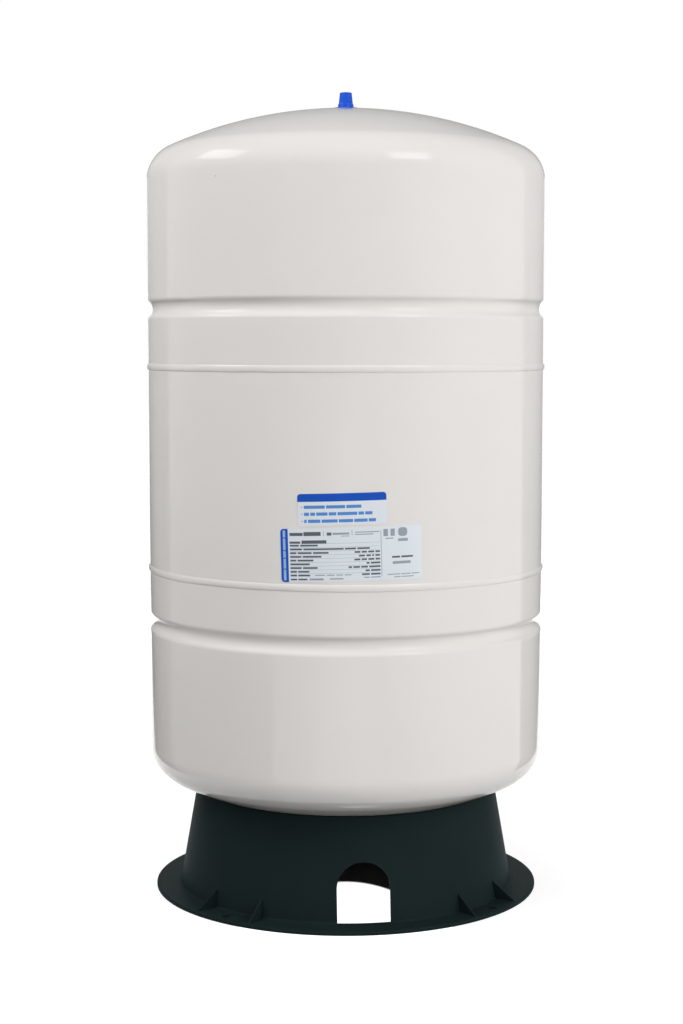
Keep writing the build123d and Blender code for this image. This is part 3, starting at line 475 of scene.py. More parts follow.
@dataclass
class Vessel:
    """The enamelled steel vessel: two like domes with a rolled groove, a course and weld beads."""

    enamel: Material
    radius: float = 197.5
    sheet: float = 1.6
    crown_radius: float = 430.0
    knuckle_radius: float = 35.0
    dome_side: float = 181.5
    course_length: float = 200.0
    crown_height: float = 76.3
    groove_to_weld: float = 55.0
    groove_width: float = 21.0
    groove_depth: float = 4.5
    shoulder: float = 5.4
    root: float = 8.8
    weld_gap: float = 2.0
    weld_width: float = 6.6
    weld_sag: float = 1.7
    weld_height: float = 1.1
    weld_seat: float = 0.05
    seam_width: float = 5.0
    seam_height: float = 0.9
    lower_hole: float = 18.3
    lower_land: float = 34.0
    upper_hole: float = 4.5
    upper_land: float = 14.0
    segments: int = 256
    crown_steps: int = 28
    knuckle_steps: int = 22
    side_steps: int = 8
    shoulder_steps: int = 8
    root_steps: int = 14
    flank_steps: int = 3
    course_steps: int = 20
    bead_steps: int = 14
    bead_segments: int = 1440
    seam_steps: int = 320
    bead_pool: float = 2.6
    seam_pool: float = 2.4
    bead_patch: float = 16.0
    bead_trim: float = 0.07
    bead_sharp: float = 60.0

    @property
    def dome_rise(self) -> float:
        """Height of the crown and knuckle together."""
        reach = self.radius - self.knuckle_radius
        return self.crown_radius - sqrt((self.crown_radius - self.knuckle_radius) ** 2 - reach**2)

    @property
    def dome_height(self) -> float:
        """Height of a dome from its crown to the middle of its weld."""
        return self.dome_rise + self.dome_side

    @property
    def lower_weld(self) -> float:
        """Height of the lower weld's middle."""
        return self.crown_height + self.dome_height

    @property
    def upper_weld(self) -> float:
        """Height of the upper weld's middle."""
        return self.lower_weld + self.course_length

    @property
    def top(self) -> float:
        """Height of the upper crown's apex, before its land."""
        return self.upper_weld + self.dome_height

    @property
    def flank(self) -> float:
        """Lean of the groove's flanks in degrees."""
        arcs = self.shoulder + self.root
        rise = arcs - self.groove_depth
        half = self.groove_width / 2
        return degrees(atan2(half, rise) - acos(arcs / hypot(half, rise)))

    def sag(self, radius: float) -> float:
        """How far the crown has curved away from its apex at a radius."""
        return self.crown_radius - sqrt(self.crown_radius**2 - radius**2)

    def dome_mesh(self, hole: float, land: float) -> BMesh:
        """Turns a pressed dome with its crown at height 0 and its rim on top.

        Args:
            hole: Radius of the hole at the apex.
            land: Radius of the flat land round the hole.

        Returns:
            The dome, with its wall.
        """
        reach = self.radius - self.knuckle_radius
        contact = degrees(atan2(reach, self.crown_radius - self.dome_rise))
        land_angle = degrees(asin(land / self.crown_radius))
        groove = self.dome_height - self.groove_to_weld
        low, high = groove - self.groove_width / 2, groove + self.groove_width / 2
        flank, turn = self.flank, radians(self.flank)
        inset = self.radius - self.shoulder
        start = self.sag(land)
        draw = Section(hole, start).line(land - 0.4, start).line(land, start)
        draw.arc(0, self.crown_radius, contact - land_angle, self.crown_steps)
        draw.arc(reach, self.dome_rise, 90 - contact, self.knuckle_steps)
        draw.line(self.radius, self.dome_rise + 1.0)
        draw.line(self.radius, low - 1.0, self.side_steps).line(self.radius, low)
        draw.arc(inset, low, flank, self.shoulder_steps)
        root_centre = self.radius - self.groove_depth + self.root
        root_x = root_centre - self.root * cos(turn)
        draw.line(root_x, groove - self.root * sin(turn), self.flank_steps)
        draw.arc(root_centre, groove, -2 * flank, self.root_steps)
        lip_x, lip_z = self.shoulder * cos(turn), self.shoulder * sin(turn)
        draw.line(inset + lip_x, high - lip_z, self.flank_steps)
        draw.arc(inset, high, flank, self.shoulder_steps)
        draw.line(self.radius, high + 1.0)
        draw.line(self.radius, self.dome_height - self.weld_gap / 2, 4)
        return draw.turn(self.segments, self.sheet)

    def bead_section(self, seat: float, width: float, height: float) -> list[tuple[float, float]]:
        """Section of a bead as (radius, place across): a cap that is fuller on its lower side.

        Args:
            seat: Radius of its back.
            width: Width across the joint.
            height: How far it stands proud.

        Returns:
            Points from the lower toe over the cap to the upper toe.
        """
        half = width / 2
        points = []
        for count in range(self.bead_steps + 1):
            share = -cos(pi * count / self.bead_steps)
            fullness = 0.5 if share < 0 else 0.8
            points.append((seat + height * max(0.0, 1 - share**2) ** fullness, half * share))
        return points

    def girth_bead(self, name: str, height: float, seed: float) -> Object:
        """Lays a girth weld: the cap wanders a little, with a ripple for each pool of the weld.

        Args:
            name: The piece and the node that it replaces.
            height: Height of the weld's middle.
            seed: Moves the pattern, so that no two welds match.

        Returns:
            The piece.
        """
        seat = self.radius + self.weld_seat
        inside = self.radius - self.sheet
        gap = self.weld_gap / 2
        cap = self.bead_section(seat, self.weld_width, self.weld_height)
        draw = Section(cap[0][0], cap[0][1] - self.weld_sag)
        for radius, across in cap[1:]:
            draw.line(radius, across - self.weld_sag)
        draw.line(seat, gap).line(inside, gap).line(inside, -gap).line(seat, -gap).close()
        mesh = draw.turn(self.bead_segments)
        half = self.weld_width / 2
        for vert in mesh.verts:
            reach = hypot(vert.co.x, vert.co.y)
            if reach < seat - 1e-3 or abs(vert.co.z) < gap * 1.001 and reach < seat + 1e-3:
                continue
            around = atan2(vert.co.y, vert.co.x) * self.radius
            spot = Vector((vert.co.x, vert.co.y, seed)) / self.bead_patch
            wander = noise.noise(spot) * 0.42 + noise.noise(spot * 4.1) * 0.3
            ripple = sin(around / self.bead_pool * tau + 2.5 * noise.noise(spot * 0.7))
            low_edge = 0.5 - 0.5 * (vert.co.z + self.weld_sag) / half
            proud = (reach - seat) / self.weld_height
            lift = 0.08 * proud * ripple + 0.1 * proud * noise.noise(spot * 6.0)
            outwards = Vector((vert.co.x, vert.co.y, 0.0)).normalized()
            crest = seat + self.weld_height - self.bead_trim
            grown = min(max(reach + lift - 0.12 * proud, seat), crest)
            vert.co = outwards * grown + Vector((0.0, 0.0, vert.co.z + wander * low_edge))
        raise_mesh(mesh, height)
        return self.coated(mesh, f"{name}_bead", name, self.bead_sharp)

    def seam_bead(self) -> Object:
        """Lays the course's lengthwise weld at the back."""
        seat = self.radius + self.weld_seat
        cap = self.bead_section(seat, self.seam_width, self.seam_height)
        half_length = self.course_length / 2 - self.weld_width / 2 - 0.3
        mesh = bmesh.new()
        verts = [mesh.verts.new((across, radius, -half_length)) for radius, across in cap]
        front = mesh.faces.new(verts)
        edge_loop = front.edges[:]
        rise = 2 * half_length / self.seam_steps
        for _ in range(self.seam_steps):
            made = bmesh.ops.extrude_edge_only(mesh, edges=edge_loop)["geom"]
            fresh = new_verts(made)
            edge_loop = [
                item for item in made
                if isinstance(item, BMEdge) and all(v in fresh for v in item.verts)
            ]
            bmesh.ops.translate(mesh, verts=fresh, vec=(0.0, 0.0, rise))
        bmesh.ops.contextual_create(mesh, geom=edge_loop)
        for vert in mesh.verts:
            proud = (vert.co.y - seat) / self.seam_height
            ripple = sin(vert.co.z / self.seam_pool * tau + 2 * noise.noise(vert.co / 20.0))
            vert.co.y += proud * (0.07 * ripple - 0.1)
            vert.co.x += 0.35 * noise.noise(Vector((0.0, vert.co.x / 8.0, vert.co.z / 11.0)))
            vert.co.y -= vert.co.x**2 / (2 * self.radius)
        bmesh.ops.recalc_face_normals(mesh, faces=mesh.faces[:])
        raise_mesh(mesh, (self.lower_weld + self.upper_weld) / 2)
        return self.coated(mesh, "seam_weld_bead", "seam_weld", self.bead_sharp)

    def course_mesh(self) -> BMesh:
        """Turns the rolled course between the girth welds."""
        half = self.course_length / 2 - self.weld_gap / 2
        draw = Section(self.radius, -half).line(self.radius, half, self.course_steps)
        mesh = draw.turn(self.segments, self.sheet)
        raise_mesh(mesh, (self.lower_weld + self.upper_weld) / 2)
        return mesh

    def coated(self, mesh: BMesh, name: str, node: str, sharp_degrees: float = 30.0) -> Object:
        """Finishes an enamelled steel mesh as the piece that stands for a node.

        Args:
            mesh: The mesh, which is used up.
            name: The piece's name.
            node: The node that it replaces.
            sharp_degrees: Edges that turn by more than this are drawn sharp.

        Returns:
            The piece.
        """
        return piece(mesh, name, self.enamel, Body.VESSEL, [node], sharp_degrees)

    def build(self) -> None:
        """Builds the shells and the beads."""
        lower = self.dome_mesh(self.lower_hole, self.lower_land)
        raise_mesh(lower, self.crown_height)
        self.coated(lower, "lower_dome_shell", "lower_dome")
        upper = self.dome_mesh(self.upper_hole, self.upper_land)
        bmesh.ops.transform(upper, matrix=Matrix.Rotation(pi, 4, "X"), verts=upper.verts[:])
        raise_mesh(upper, self.top)
        self.coated(upper, "upper_dome_shell", "upper_dome")
        self.coated(self.course_mesh(), "rolled_course_shell", "shell_course")
        self.girth_bead("upper_weld", self.upper_weld, 3.0)
        self.girth_bead("lower_weld", self.lower_weld, 47.0)
        self.seam_bead()


# Labels


class Corner(Enum):
    """Which corners of a field are rounded, counted from the lower left one, anticlockwise."""

    NONE = ()
    ALL = (0, 1, 2, 3)
    TOP = (2, 3)
    LEFT = (0, 3)


@dataclass
class Field:
    """A flat field on a label, in millimetres from the label's lower left corner."""

    left: float
    bottom: float
    width: float
    height: float
    rounded: Corner = Corner.NONE


@dataclass
class FilmLabel:
    """A film on the vessel's side, a little tilted, with its print in raised fields of ink."""

    name: str
    node: str
    width: float
    height: float
    azimuth: float
    middle: float
    vessel_radius: float = 197.5
    gap: float = 0.15
    film: float = 0.15
    ink: float = 0.02
    corner: float = 3.0
    tilt: float = 1.6
    cut: float = 4.0

    def mesh(self, fields: Iterable[Field], lift: float, thickness: float) -> BMesh:
        """Lays fields on the vessel's side.

        Args:
            fields: What is cut or printed.
            lift: Height of the back above the vessel's side.
            thickness: How thick the fields are.

        Returns:
            The mesh in millimetres, at its place.
        """
        made = bmesh.new()
        for field in fields:
            left, bottom = field.left - self.width / 2, field.bottom - self.height / 2
            right, top = left + field.width, bottom + field.height
            spots = ((left, bottom), (right, bottom), (right, top), (left, top))
            corners = [made.verts.new((x, 0.0, z)) for x, z in spots]
            made.faces.new(corners)
            if field.rounded.value:
                bmesh.ops.bevel(
                    made, geom=[corners[index] for index in field.rounded.value],
                    offset=self.corner, offset_type="OFFSET", segments=6, profile=0.5,
                    affect="VERTICES", material=-1
                )
        bmesh.ops.rotate(
            made, verts=made.verts[:], cent=(0.0, 0.0, 0.0),
            matrix=Matrix.Rotation(-radians(self.tilt), 3, "Y")
        )
        cuts = int(self.width / 2 / self.cut) + 1
        for count in range(-cuts, cuts + 1):
            bmesh.ops.bisect_plane(
                made, geom=made.verts[:] + made.edges[:] + made.faces[:], dist=1e-5,
                plane_co=(count * self.cut, 0.0, 0.0), plane_no=(1.0, 0.0, 0.0)
            )
        skin = bmesh.ops.extrude_face_region(made, geom=made.faces[:])["geom"]
        bmesh.ops.translate(made, verts=new_verts(skin), vec=(0.0, -thickness, 0.0))
        around = radians(self.azimuth)
        for vert in made.verts:
            radius = self.vessel_radius + lift - vert.co.y
            turn = around + vert.co.x / self.vessel_radius
            vert.co = at_azimuth(radius, turn, vert.co.z + self.middle)
        bmesh.ops.recalc_face_normals(made, faces=made.faces[:])
        return made

    def lay_film(self, finish: Material) -> None:
        """Lays the film itself, with rounded corners."""
        sheet = self.mesh([Field(0, 0, self.width, self.height, Corner.ALL)], self.gap, self.film)
        piece(sheet, f"{self.name}_film", finish, Body.VESSEL, [self.node])

    def print_ink(
        self, name: str, finish: Material, fields: Iterable[Field], lift: float = 0.0
    ) -> None:
        """Prints fields of one ink on the film.

        Args:
            name: The ink piece's name.
            finish: Its material.
            fields: What is printed.
            lift: How much higher it lies than a first coat.
        """
        ink = self.mesh(fields, self.gap + self.film - self.ink + lift, 2 * self.ink)
        piece(ink, f"{self.name}_{name}", finish, Body.VESSEL)


def word_bars(
    left: float, middle: float, height: float, words: Sequence[float], space: float
) -> list[Field]:
    """Sets a row of plain bars that stand for words.

    Args:
        left: Where the row starts.
        middle: Height of the row's middle.
        height: Height of the bars.
        words: Their widths.
        space: The space between them.

    Returns:
        The bars.
    """
    bars = []
    for word in words:
        bars.append(Field(left, middle - height / 2, word, height))
        left += word + space
    return bars


# The notice: its band, and the height and word widths of each row
NOTICE_BAND = Field(0, 22.2, 81.8, 7.3, Corner.TOP)
NOTICE_ROWS = (
    (17.3, (19.4, 17.4, 13.7)),
    (10.9, (4.7, 4.5, 10.3, 6.9, 18.0, 5.0, 6.6)),
    (4.4, (2.4, 11.5, 14.6, 13.0, 12.1, 6.6)),
)
# The rating label's strip, and the foot and length of its upright words
RATING_STRIP = Field(0, 0, 7.1, 49.0, Corner.LEFT)
STRIP_WORDS = ((1.6, 10.0), (12.4, 9.2), (22.4, 6.2), (29.4, 10.8), (41.0, 6.4))
# Its table: word widths at the left and at the right of each row
RATING_ROWS = (
    ((8.6, 16.3), ()),
    ((11.4, 37.0, 10.2, 11.3), ()),
    ((6.0, 13.0, 14.4), (5.3, 4.8, 5.4, 4.2)),
    ((10.6, 17.4), (5.5, 4.2, 1.7, 4.4)),
    ((5.7, 14.8), (5.3, 5.0, 5.5, 4.2)),
    ((18.3,), (2.8, 8.7)),
    ((10.6, 13.6), (3.1, 6.0, 6.2, 10.2)),
    ((6.0, 10.5), (3.8, 8.7)),
    ((6.0, 11.0), (7.2, 8.7)),
)
# Its single rules, bars and faint fields: left, bottom, width, height and rounded corners
RATING_FIELDS = (
    ((92.6, 3.6, 0.5, 42.5),),
    (
        (8.6, 35.4, 10.0, 1.9), (19.9, 35.2, 23.0, 3.0), (8.8, 42.4, 12.4, 2.8),
        (21.9, 42.3, 15.9, 3.6), (43.4, 42.4, 4.2, 2.8)
    ),
    (
        (40.3, 42.0, 0.4, 4.6), (66.2, 42.0, 0.5, 5.0), (48.7, 43.0, 15.2, 1.8),
        (56.2, 41.3, 7.6, 0.7), (69.0, 44.4, 22.5, 0.9), (69.0, 42.4, 17.0, 0.9),
        (95.2, 40.2, 4.2, 6.6), (101.8, 40.2, 4.0, 6.6), (109.0, 39.6, 8.6, 8.0, Corner.ALL),
        (97.0, 37.6, 7.2, 1.0), (108.8, 35.0, 9.2, 2.6)
    )
)
# Its loose words: left, middle height, bar height, widths and, where faint, the space between them
RATING_WORDS = ((102.6, 20.8, 1.7, (7.6, 11.2)), (8.8, 2.4, 1.5, (6.0, 8.4)))
FAINT_WORDS = (
    (103.2, 15.6, 2.4, (17.0,), 1.4), (98.0, 4.9, 0.9, (12.0, 9.0, 7.4), 1.0),
    (104.2, 2.4, 0.9, (6.0, 11.6), 1.0), (26.4, 2.4, 1.7, (13.0,), 1.2),
    (45.0, 2.6, 1.2, (12.4,), 1.2), (76.6, 3.2, 1.0, (5.0, 8.8), 1.2)
)


@dataclass
class Labels:
    """The two films in front: a small notice, and a larger table with a blue strip."""

    film: Material
    blue: Material
    pale: Material
    sky: Material
    dark: Material
    rule: Material
    lower_weld: float
    row_step: float = 3.43
    first_row: float = 15.5
    table_right: float = 91.6
    word_gap: float = 1.2
    second_coat: float = 0.03

    def notice(self) -> None:
        """Lays the small film: a blue band over three rows of bars."""
        label = FilmLabel("notice", "notice_label", 81.8, 29.5, -1.0, self.lower_weld + 71.0)
        label.lay_film(self.film)
        label.print_ink("band", self.blue, [NOTICE_BAND])
        bars = []
        for middle, words in NOTICE_ROWS:
            bars.append(Field(3.4, middle - 0.5, 1.0, 1.0))
            bars += word_bars(5.9, middle, 2.9, words, 1.1)
        label.print_ink("rows", self.sky, bars)

    def rating(self) -> None:
        """Lays the larger film: a strip, a ruled table of bars and a nearly bare right part."""
        label = FilmLabel("rating", "rating_label", 131.5, 49.0, 1.6, self.lower_weld + 29.7)
        label.lay_film(self.film)
        label.print_ink("strip", self.blue, [RATING_STRIP])
        upright = [Field(2.3, bottom, 2.4, length) for bottom, length in STRIP_WORDS]
        label.print_ink("strip_words", self.pale, upright, self.second_coat)
        rules, bars, faint = ([Field(*row) for row in rows] for rows in RATING_FIELDS)
        gap = self.word_gap
        for row, (names, values) in enumerate(RATING_ROWS):
            middle = self.height_of(label, row)
            bars += word_bars(8.8, middle, 1.6, names, gap)
            start = self.table_right - sum(values) - gap * max(len(values) - 1, 0)
            bars += word_bars(start, middle + 0.1, 1.6, values, gap)
            rules.append(Field(9.0, middle + self.row_step / 2 - 0.15, 82.0, 0.22))
        for left, middle, height, words in RATING_WORDS:
            bars += word_bars(left, middle, height, words, gap)
        for left, middle, height, words, space in FAINT_WORDS:
            faint += word_bars(left, middle, height, words, space)
        faint += word_bars(31.6, self.height_of(label, 8), 0.9, (9.2, 7.2, 6.0, 6.0), 1.6)
        label.print_ink("rows", self.dark, bars)
        label.print_ink("rules", self.rule, rules + faint)

    def height_of(self, label: FilmLabel, row: int) -> float:
        """Height of a table row's middle above the label's lower edge."""
        return label.height - self.first_row - self.row_step * row

    def build(self) -> None:
        """Lays both films."""
        self.notice()
        self.rating()


# Air valve and cap


@dataclass
class AirValve:
    """The brass stem on the upper dome, the spring of its core and its moulded cap."""

    brass: Material
    plastic: Material
    wire: Material
    land: float
    gasket: float = 1.0
    screw_radius: float = 4.0
    boss_height: float = 9.0
    stem_tail: float = 2.0
    hexagon_flats: float = 11.0
    hexagon_height: float = 2.0
    stem_radius: float = 3.85
    stem_root: float = 3.42
    stem_length: float = 11.0
    thread_pitch: float = 0.794
    bore: float = 1.95
    thread_bore: float = 2.6
    core_depth: float = 5.75
    cap_lift: float = 0.3
    disc_radius: float = 13.6
    disc: float = 2.2
    cap_height: float = 17.399
    base_radius: float = 8.0
    top_radius: float = 6.4
    edge: float = 1.2
    flats: int = 8
    flat_depth: float = 0.42
    flat_start: float = 6.0
    recess_radius: float = 6.85
    cap_bore: float = 3.93
    cap_bore_relief: float = 0.5
    cap_thread: float = 6.0
    seal: float = 1.4
    wire_radius: float = 0.18
    spring_radius: float = 1.15
    spring_turns: float = 7.0
    pin_travel: float = 1.2

    @property
    def hexagon_top(self) -> float:
        """Height of the hexagon's top."""
        return self.land + self.gasket + self.hexagon_height

    @property
    def stem_top(self) -> float:
        """Height of the stem's end."""
        return self.hexagon_top + self.stem_length

    def stem(self) -> Object:
        """Turns the stem and winds its cap thread."""
        bottom = self.land - 1.6 - self.boss_height - self.stem_tail
        seat = self.land + self.gasket
        shoulder = self.stem_top - self.core_depth
        draw = Section(self.bore, bottom).line(self.screw_radius - 0.5, bottom)
        draw.line(self.screw_radius, bottom + 0.5).line(self.screw_radius, seat - 0.02)
        draw.line(self.stem_root, seat - 0.02).line(self.stem_root, self.stem_top - 0.5)
        draw.line(self.stem_root - 0.45, self.stem_top).line(self.thread_bore, self.stem_top)
        draw.line(self.thread_bore, shoulder).line(self.bore, shoulder - 0.65).close()
        mesh = draw.turn(64)
        thread_ridge(
            mesh, self.stem_root, self.stem_radius, self.thread_pitch, self.hexagon_top + 0.8,
            self.stem_top - 0.7, 40
        )
        middle = Matrix.Translation((0, 0, seat + self.hexagon_height / 2))
        hexagon = bmesh.ops.create_cone(
            mesh, cap_ends=True, segments=6, radius1=self.hexagon_flats / sqrt(3),
            radius2=self.hexagon_flats / sqrt(3), depth=self.hexagon_height,
            matrix=middle @ Matrix.Rotation(radians(30), 4, "Z")
        )["verts"]
        rims = {
            e for v in hexagon for e in v.link_edges if abs(
                e.verts[0].co.z - e.verts[1].co.z
            ) < 1e-6
        }
        bmesh.ops.bevel(
            mesh, geom=list(rims), offset=0.25, offset_type="OFFSET", segments=2, profile=0.5,
            affect="EDGES", material=-1
        )
        return piece(mesh, "valve_stem_threaded", self.brass, Body.VESSEL, ["valve_stem"])

    def cap(self) -> Object:
        """Turns the cap and presses the flats into its upper body."""
        foot = self.land + self.cap_lift
        top = foot + self.cap_height
        disc_top = foot + self.disc
        lean = atan2(self.base_radius - self.top_radius, self.cap_height - self.disc)
        recess_top = self.hexagon_top + 0.4
        wide = self.cap_bore + self.cap_bore_relief
        seal_bottom = self.stem_top + 0.04
        thread_bottom = seal_bottom - self.cap_thread
        edge_x = self.top_radius - self.edge
        draw = Section(self.recess_radius, foot).line(self.disc_radius - 0.5, foot)
        draw.arc(self.disc_radius - 0.5, foot + 0.5, 90, 4)
        draw.line(self.disc_radius, disc_top - 0.5)
        draw.arc(self.disc_radius - 0.5, disc_top - 0.5, 90, 4)
        draw.line(self.base_radius + 0.6, disc_top, 3)
        draw.arc(self.base_radius + 0.6, disc_top + 0.6, -90 + degrees(lean), 4)
        draw.line(edge_x + self.edge * cos(lean), top - self.edge + self.edge * sin(lean), 44)
        draw.arc(edge_x, top - self.edge, 90 - degrees(lean), 8)
        draw.line(0.0, top, 4)
        draw.line(0.0, seal_bottom + self.seal).line(self.cap_bore, seal_bottom + self.seal)
        draw.line(self.cap_bore, thread_bottom).line(wide, thread_bottom - self.cap_bore_relief)
        draw.line(wide, recess_top).line(self.recess_radius, recess_top).close()
        mesh = draw.turn(self.flats * 16)
        share = self.flat_start / self.cap_height
        flat_radius = self.base_radius + (
            self.top_radius - self.base_radius
        ) * share - self.flat_depth
        for vert in mesh.verts:
            reach = hypot(vert.co.x, vert.co.y)
            height = vert.co.z - foot
            if reach < self.cap_bore + 0.8 or height < self.flat_start - 0.01:
                continue
            pitch = tau / self.flats
            turn = atan2(vert.co.x, -vert.co.y)
            off = (turn + pitch / 2) % pitch - pitch / 2
            plane = flat_radius - (height - self.flat_start) * tan(lean)
            level = plane / cos(off)
            press = min(1.0, (height - self.flat_start) / 0.5)
            if reach > level:
                scale = 1 + (level / reach - 1) * press
                vert.co.x *= scale
                vert.co.y *= scale
        return piece(
            mesh, "valve_cap_faceted", self.plastic, Body.CAP, ["valve_cap"], 24.0
        )

    def spring(self) -> Object:
        """Winds the core's spring, which the pin's collar presses flatter."""
        low, high = (corner[2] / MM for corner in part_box("core_spring"))
        mesh = bmesh.new()
        start = Matrix.Translation((self.spring_radius, 0.0, low + self.wire_radius))
        bmesh.ops.create_circle(
            mesh, cap_ends=True, segments=10, radius=self.wire_radius,
            matrix=start @ Matrix.Rotation(pi / 2, 4, "X")
        )
        count = round(self.spring_turns * 32)
        climb = high - low - 2 * self.wire_radius
        spin_round(mesh, mesh.faces[:], self.spring_turns * tau, count, climb / count)
        bmesh.ops.recalc_face_normals(mesh, faces=mesh.faces[:])
        made = piece(mesh, "core_spring_coil", self.wire, Body.VESSEL, ["core_spring"])
        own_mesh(made)
        return made

    def build(self) -> None:
        """Builds the stem, the cap and the spring."""
        self.stem()
        self.cap()
        self.spring()


# Water connection


@dataclass
class WaterConnection:
    """The turned nipple under the lower dome, with its nut."""

    steel: Material
    land: float
    radius: float = 16.62
    root_radius: float = 15.2
    length: float = 20.0
    pitch: float = 2.309
    relief: float = 1.5
    bore: float = 12.5
    shank: float = 18.0
    flange_radius: float = 30.0
    flange: float = 4.0
    flange_lift: float = 3.4
    seal_inner: float = 21.5
    seal_outer: float = 25.5
    seal_depth: float = 2.4
    nut_flats: float = 46.0
    nut_height: float = 7.0

    def nipple(self) -> Object:
        """Turns the nipple and winds its pipe thread."""
        seat = self.land + self.flange_lift
        nut_bottom = self.land - 0.05 - self.nut_height
        start = nut_bottom - self.relief
        end = start - self.length
        draw = Section(self.bore, seat + self.flange - 0.6)
        draw.line(self.bore, end + 0.6).line(self.bore + 0.6, end).line(self.root_radius - 0.6, end)
        draw.line(self.root_radius, end + 0.6).line(self.root_radius, nut_bottom - 0.15)
        draw.line(self.shank, nut_bottom - 0.15).line(self.shank, seat)
        draw.line(self.seal_inner, seat).line(self.seal_inner, seat + self.seal_depth)
        draw.line(self.seal_outer, seat + self.seal_depth).line(self.seal_outer, seat)
        draw.line(self.flange_radius - 0.4, seat).line(self.flange_radius, seat + 0.4)
        draw.line(self.flange_radius, seat + self.flange - 0.4)
        draw.line(self.flange_radius - 0.4, seat + self.flange)
        draw.line(self.bore + 0.6, seat + self.flange).close()
        mesh = draw.turn(96)
        thread_ridge(mesh, self.root_radius, self.radius, self.pitch, end + 1.6, start - 0.6, 72)
        return piece(
            mesh, "water_nipple_threaded", self.steel, Body.VESSEL,
            ["water_connection"]
        )

    def nut(self) -> Object:
        """Makes the hexagon nut with chamfered corners."""
        corner = self.nut_flats / sqrt(3)
        inner = self.shank + 0.06
        low = self.land - 0.05 - self.nut_height
        draw = Section(inner, low)
        flat = self.nut_flats / 2
        draw.line(flat - 0.4, low, 2)
        rise = (corner - flat) * tan(radians(30))
        draw.line(corner, low + rise + 0.2, 3)
        draw.line(corner, low + self.nut_height - rise - 0.2, 3)
        draw.line(flat - 0.4, low + self.nut_height, 3)
        draw.line(inner, low + self.nut_height, 2).close()
        mesh = draw.turn(120)
        for vert in mesh.verts:
            reach = hypot(vert.co.x, vert.co.y)
            turn = atan2(vert.co.y, vert.co.x)
            off = turn % radians(60) - radians(30)
            level = flat / cos(off)
            if reach > level:
                vert.co.x *= level / reach
                vert.co.y *= level / reach
        return piece(
            mesh, "water_nipple_nut", self.steel, Body.VESSEL, ["connection_nut"], 24.0
        )

    def build(self) -> None:
        """Builds the nipple and its nut."""
        self.nipple()
        self.nut()


# Studio


def staged(mesh: BMesh, name: str, finish: Material) -> Object:
    """Makes a mesh drawn in metres a part of the studio, which isn't part of the object.

    Args:
        mesh: The mesh, which is used up.
        name: The object's name.
        finish: Its material.

    Returns:
        The object.
    """
    data = bpy.data.meshes.new(name)
    mesh.to_mesh(data)
    mesh.free()
    data.materials.append(finish)
    made = linked(name, data)
    return made


@dataclass
class Softbox:
    """A soft lamp, placed by its azimuth and elevation seen from the object's middle."""

    name: str
    azimuth: float
    elevation: float
    distance: float
    width: float
    height: float
    radiance: float
    mirrored: bool = True

    def place(self, target: Vector) -> None:
        """Adds the lamp, turned to the target."""
        turn, lift = radians(self.azimuth), radians(self.elevation)
        away = at_azimuth(cos(lift), turn, sin(lift)) * self.distance
        data = bpy.data.lights.new(self.name, "AREA")
        data.shape = "RECTANGLE"
        data.size = self.width
        data.size_y = self.height
        data.energy = self.radiance * pi * self.width * self.height
        lamp = linked(self.name, data)
        lamp.visible_glossy = self.mirrored
        turned = (-away).to_track_quat("-Z", "Y").to_matrix().to_4x4()
        lamp.matrix_world = Matrix.Translation(target + away) @ turned


@dataclass
class DarkCard:
    """A card out of the view that glows with painted light, shown only in reflections, which draws
    the pale vessel's edge.
    """

    name: str
    start: tuple[float, float]
    end: tuple[float, float]
    bottom: float = 0.0
    height: float = 1.3
    low: float = 0.1
    high: float = 0.9
    low_strength: float = 0.0
    high_strength: float = 0.62

    def place(self) -> None:
        """Stands the card between its two feet."""
        mesh = bmesh.new()
        first = mesh.verts.new((*self.start, self.bottom))
        strip = bmesh.ops.extrude_vert_indiv(mesh, verts=[first])
        strip["verts"][0].co = (*self.end, self.bottom)
        wall = bmesh.ops.extrude_edge_only(mesh, edges=strip["edges"])["geom"]
        bmesh.ops.translate(mesh, verts=new_verts(wall), vec=(0.0, 0.0, self.height))
        # Painted glow: the card shines by its own light, dim at its foot and brighter towards its top
        card_glow = blank_material("painted_glow_card")
        tree = card_glow.node_tree
        place = add_node(tree, "TexCoord").outputs["Object"]
        level = add_node(tree, "SeparateXYZ", {0: place}).outputs["Z"]
        weak, strong = self.low_strength, self.high_strength
        rise = add_node(tree, "MapRange", {0: level, 1: self.low, 2: self.high, 3: weak, 4: strong})
        glow = add_node(tree, "Emission", {"Strength": rise.outputs[0]})
        add_node(tree, "OutputMaterial", {"Surface": glow.outputs[0]})
        card = staged(mesh, self.name, card_glow)
        card.visible_camera = card.visible_diffuse = False
        card.visible_shadow = card.visible_transmission = False


